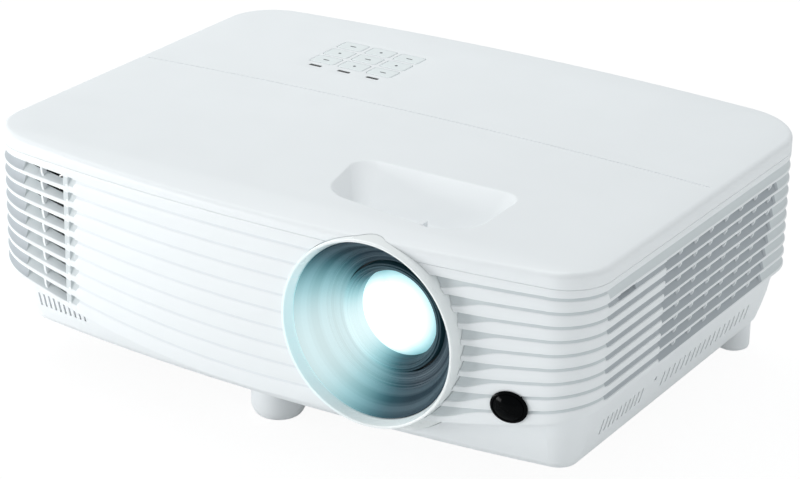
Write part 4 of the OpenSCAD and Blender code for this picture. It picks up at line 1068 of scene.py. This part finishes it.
LIGHT_Z = TOP_Z - 8.5
lights = [cushion(x, y, 6.6, 2.1, 0.4, LIGHT_Z + 1.9, TOP_Z - 0.15, 0.15, 0.0) for x, y in light_at]
lights += [cushion(x, y, 8.0, 3.2, 0.5, LIGHT_Z, LIGHT_Z + 2.0, 0.2, 0.0) for x, y in light_at]
pipes = make("status_lens", *merged(lights), M["led_black"], slot="window_black", weld=False)
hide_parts("status_lights")

# ---- lens ring
TRAY_Z = 23.3  # the tray's cut-out ends here, below the ring and the funnel
ring_profile = rounded(
    [(OPEN_R, 116.0), (OPEN_R, BEZEL_BACK), (BEZEL_ROOT, BEZEL_BACK), (RIM_R + FLANK * 0.6, RIM_H - 0.6),
     (RIM_R - 0.2, RIM_H), (RIM_R - 1.3, RIM_H), (OPEN_R, RIM_H - 4.6), (OPEN_R, 116.0)],
    [0, 0.3, 0.3, 0.9, 0.9, 0.9, 0.7, 0],
    6,
)
bezel = make("lens_bezel_skin", *lathe(ring_profile, 256), M["lens_ring_white"], body=None)
cut_below(bezel, TRAY_Z)
shade(bezel)
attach(bezel, "case")
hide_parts("lens_bezel")

# a skirt on the back of the ring closes the tray's wider cut-out below it
skirt_profile = [(42.2, 107.0), (48.1, 107.0), (48.1, 108.8), (44.0, 110.6), (42.2, 112.3), (42.2, 107.0)]
skirt = make("ring_skirt", *lathe(skirt_profile, 192), M["lens_ring_white"], slot="lens_ring_white")
cut(skirt, scratch_box("above", (-100, -150, 38), (200, 0, 200)))
cut_below(skirt, TRAY_Z + 0.2)
shade(skirt)

# ---- funnel, front cell and glass
H0, H1 = 98.0, 117.0  # inner and outer end of the funnel


def stairs(start, end, count, tread, lift, lip, dip):
    """Small steps in a profile: a tread that rises by lift, a lip that dips, and a riser."""
    out = []
    for i in range(count):
        ra, rb = (lerp(start[0], end[0], j / count) for j in (i, i + 1))
        ha, hb = (lerp(start[1], end[1], j / count) for j in (i, i + 1))
        out += [(lerp(ra, rb, tread), lerp(ha, hb, tread) + lift), (lerp(ra, rb, lip), hb - dip), (rb, hb)]
    return out


flange_r, wall_r, flange_h = 41.9, OPEN_R - 0.15, BEZEL_BACK - 1.5
funnel = [(29.3, H0 + 0.2), (37.8, flange_h), (flange_r, flange_h), (flange_r, BEZEL_BACK - 0.1),
          (wall_r, BEZEL_BACK - 0.1), (wall_r, H1 - 0.35), (OPEN_R - 0.3, H1), (OPEN_R - 0.75, H1)]
funnel_top, funnel_mid = (OPEN_R - 0.95, H1 - 0.3), (31.6, H0 + 5.2)
funnel.append(funnel_top)
funnel += stairs(funnel_top, funnel_mid, 26, 0.72, 0.02, 0.86, 0.14)
funnel += [(31.5, H0 + 5.2), (31.0, H0 + 4.9), (30.8, H0 + 3.4)]
funnel += stairs(funnel[-1], (25.4, H0 + 0.9), 6, 0.7, 0.0, 0.85, 0.08)
funnel += [(25.4, H0 + 0.2), funnel[0]]
hood = make("lens_hood_skin", *lathe(funnel, 256), M["hood_slate_painted_glow"], body=None, sharp=28.0)
cut_below(hood, TRAY_Z)
shade(hood, 28.0)
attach(hood, "case")
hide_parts("lens_hood")

cell_profile = rounded(
    [(20.06, 90.0), (20.06, 97.0), (21.0, 98.0), (21.4, 99.2), (22.0, 99.2), (22.1, 101.0),
     (23.2, 101.0), (23.3, 100.2), (23.7, 100.2), (23.8, 101.0), (24.5, 101.0), (24.5, 88.0),
     (18.5, 88.0), (18.5, 90.0), (20.06, 90.0)],
    [0, 0.2, 0.3, 0.15, 0.15, 0.15, 0.15, 0.1, 0.1, 0.15, 0.3, 0.3, 0.2, 0.2, 0],
    4,
)
cell_mesh = lathe(cell_profile, 192)
cell = make("focus_cell_skin", *cell_mesh, M["cell_painted_glow"], body="front_group", slot="cell_black", sharp=30.0)
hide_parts("focus_cell")

GLASS_R, GLASS_CURVE, GLASS_BULGE, GLASS_H, GLASS_BACK = 19.98, 21.6, 6.0, 92.5, 90.02
edge_bulge = GLASS_BULGE * sqrt(1 - (GLASS_R / GLASS_CURVE) ** 2)
dome = [(0.01, GLASS_H + GLASS_BULGE)]
for i in range(1, 25):
    r = GLASS_R * i / 24
    swell = GLASS_BULGE * sqrt(max(0.0, 1 - (r / GLASS_CURVE) ** 2))
    dome.append((r, GLASS_H + swell - edge_bulge * (r / GLASS_R) ** 2))
dome += [(GLASS_R, GLASS_BACK), (0.01, GLASS_BACK), dome[0]]
dome_mesh = lathe(dome, 160)
lens = make("front_glass_skin", *dome_mesh, M["lens_painted_glow"], body="front_group", slot="lens_glass", sharp=30.0)
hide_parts("front_glass")

# ---- remote-control window
DOME_R, DOME_H = EYE_R - 0.95, 1.35
win = [(0.01, -4.0), (EYE_R, -4.0), (EYE_R, 0.3), (EYE_R + 0.7, 0.3), (EYE_R + 0.9, 0.45),
       (EYE_R + 0.9, 0.75), (EYE_R + 0.7, 0.95), (EYE_R - 0.1, 1.3), (EYE_R - 0.45, 1.3),
       (EYE_R - 0.6, 0.95), (EYE_R - 0.8, 0.95), (DOME_R, DOME_H)]
for i in range(1, 12):
    r = DOME_R * (1 - i / 11) + 0.01
    win.append((r, DOME_H + 1.75 * (1 - (r / DOME_R) ** 2)))
win.append((0.01, -4.0))
window = make("ir_window_skin", *on_eye(win), M["window_black"], slot="window_black", sharp=40.0)
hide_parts("ir_window")

# ---- foot
knob = rounded(
    [(0.01, 0.0), (8.0, 0.0), (10.6, 1.2), (12.3, 4.4), (FOOT_R, 7.5), (FOOT_R, FOOT_GAP - 1.8),
     (FOOT_R - 0.8, FOOT_GAP - 1), (4.05, FOOT_GAP - 1), (4.05, 6.0), (0.01, 6.0), (0.01, 0.0)],
    [0, 1.5, 2.0, 2.0, 1.5, 0.5, 0.5, 0.3, 0.2, 0, 0],
)
knob_mesh = lathe(knob, 128, "z", (FOOT_X, FOOT_Y, 0.0))
foot = make("foot_knob_skin", *knob_mesh, M["case_white"], body="foot_pad", slot="foot_white", sharp=40.0)
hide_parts("foot_knob")

# ---- camera
FOCAL_PX, PHOTO_W, SENSOR = 2725.5, 800, 36.0
az, el, roll = radians(31.54), radians(22.80), radians(1.07)
cam_data = bpy.data.cameras.new("view")
cam = bpy.data.objects.new("view", cam_data)
scene.collection.objects.link(cam)
scene.camera = cam
back = Vector((sin(az) * cos(el), -cos(az) * cos(el), sin(el)))
level = Vector((cos(az), sin(az), 0))
upright = back.cross(level)
right = level * cos(roll) + upright * sin(roll)
up = upright * cos(roll) - level * sin(roll)
cam.matrix_world = shift(0.6121, -0.9965, 0.5481) @ Matrix((right, up, back)).transposed().to_4x4()
cam_data.sensor_fit = "HORIZONTAL"
cam_data.sensor_width = SENSOR
cam_data.lens = FOCAL_PX / PHOTO_W * SENSOR
cam_data.clip_start, cam_data.clip_end = 0.05, 20.0


# ---- floor, world and lamps
def seen_apart(tree, share, plain, seen, out):
    """One shader for what the camera sees directly and another for the light that falls on things."""
    fac = add(tree, "LightPath").outputs["Is Camera Ray"]
    if share < 1:
        times = add(tree, "Math", {1: share}, operation="MULTIPLY")
        tree.links.new(fac, times.inputs[0])
        fac = times.outputs["Value"]
    mix = add(tree, "MixShader")
    tree.links.new(fac, mix.inputs["Fac"])
    tree.links.new(plain, mix.inputs[1])
    tree.links.new(seen, mix.inputs[2])
    tree.links.new(mix.outputs["Shader"], out.inputs["Surface"])


FAR = 4000  # half the floor's width
floor = new_object("floor", [(-FAR, -FAR, 0), (FAR, -FAR, 0), (FAR, FAR, 0), (-FAR, FAR, 0)], [(0, 1, 2, 3)])
floor_mat, floor_tree, floor_shader, floor_out = new_material("floor")
put(floor_shader, {"Roughness": 0.9, "Specular IOR Level": 0.1, "Base Color": (0.93, 0.94, 0.94, 1)})
emit = add(floor_tree, "Emission", {"Strength": 1.04})
seen_apart(floor_tree, 0.9, floor_shader.outputs["BSDF"], emit.outputs["Emission"], floor_out)
floor.data.materials.append(floor_mat)

world = bpy.data.worlds.new("world")
scene.world = world
world.use_nodes = True
sky = world.node_tree
sky.nodes.clear()
sky_out = add(sky, "OutputWorld")
soft = add(sky, "Background", {"Color": (0.96, 0.99, 1.0, 1), "Strength": 0.56})
white = add(sky, "Background", {"Color": (1, 1, 1, 1), "Strength": 1.0})
seen_apart(sky, 1, soft.outputs["Background"], white.outputs["Background"], sky_out)


def lamp(name, place, target, size, power, colour=FULL):
    data = bpy.data.lights.new(name, "AREA")
    data.shape = "RECTANGLE"
    data.size, data.size_y = size
    data.energy = power
    data.color = colour
    o = bpy.data.objects.new(name, data)
    o.location = place
    o.rotation_mode = "QUATERNION"
    o.rotation_quaternion = (Vector(target) - Vector(place)).to_track_quat("-Z", "Y")
    scene.collection.objects.link(o)


lamp("key", (-1.05, -0.95, 0.17), (-0.05, -0.1, 0.05), (0.9, 0.26), 9.6)
lamp("top", (-0.6, 0.4, 1.4), (0, 0, 0.1), (1.2, 1.1), 10.8, (0.98, 1.0, 1.0))
lamp("side", (1.5, -0.45, 0.24), (0.1, 0, 0.05), (0.9, 0.36), 2.4)

scene.view_settings.view_transform = "Standard"
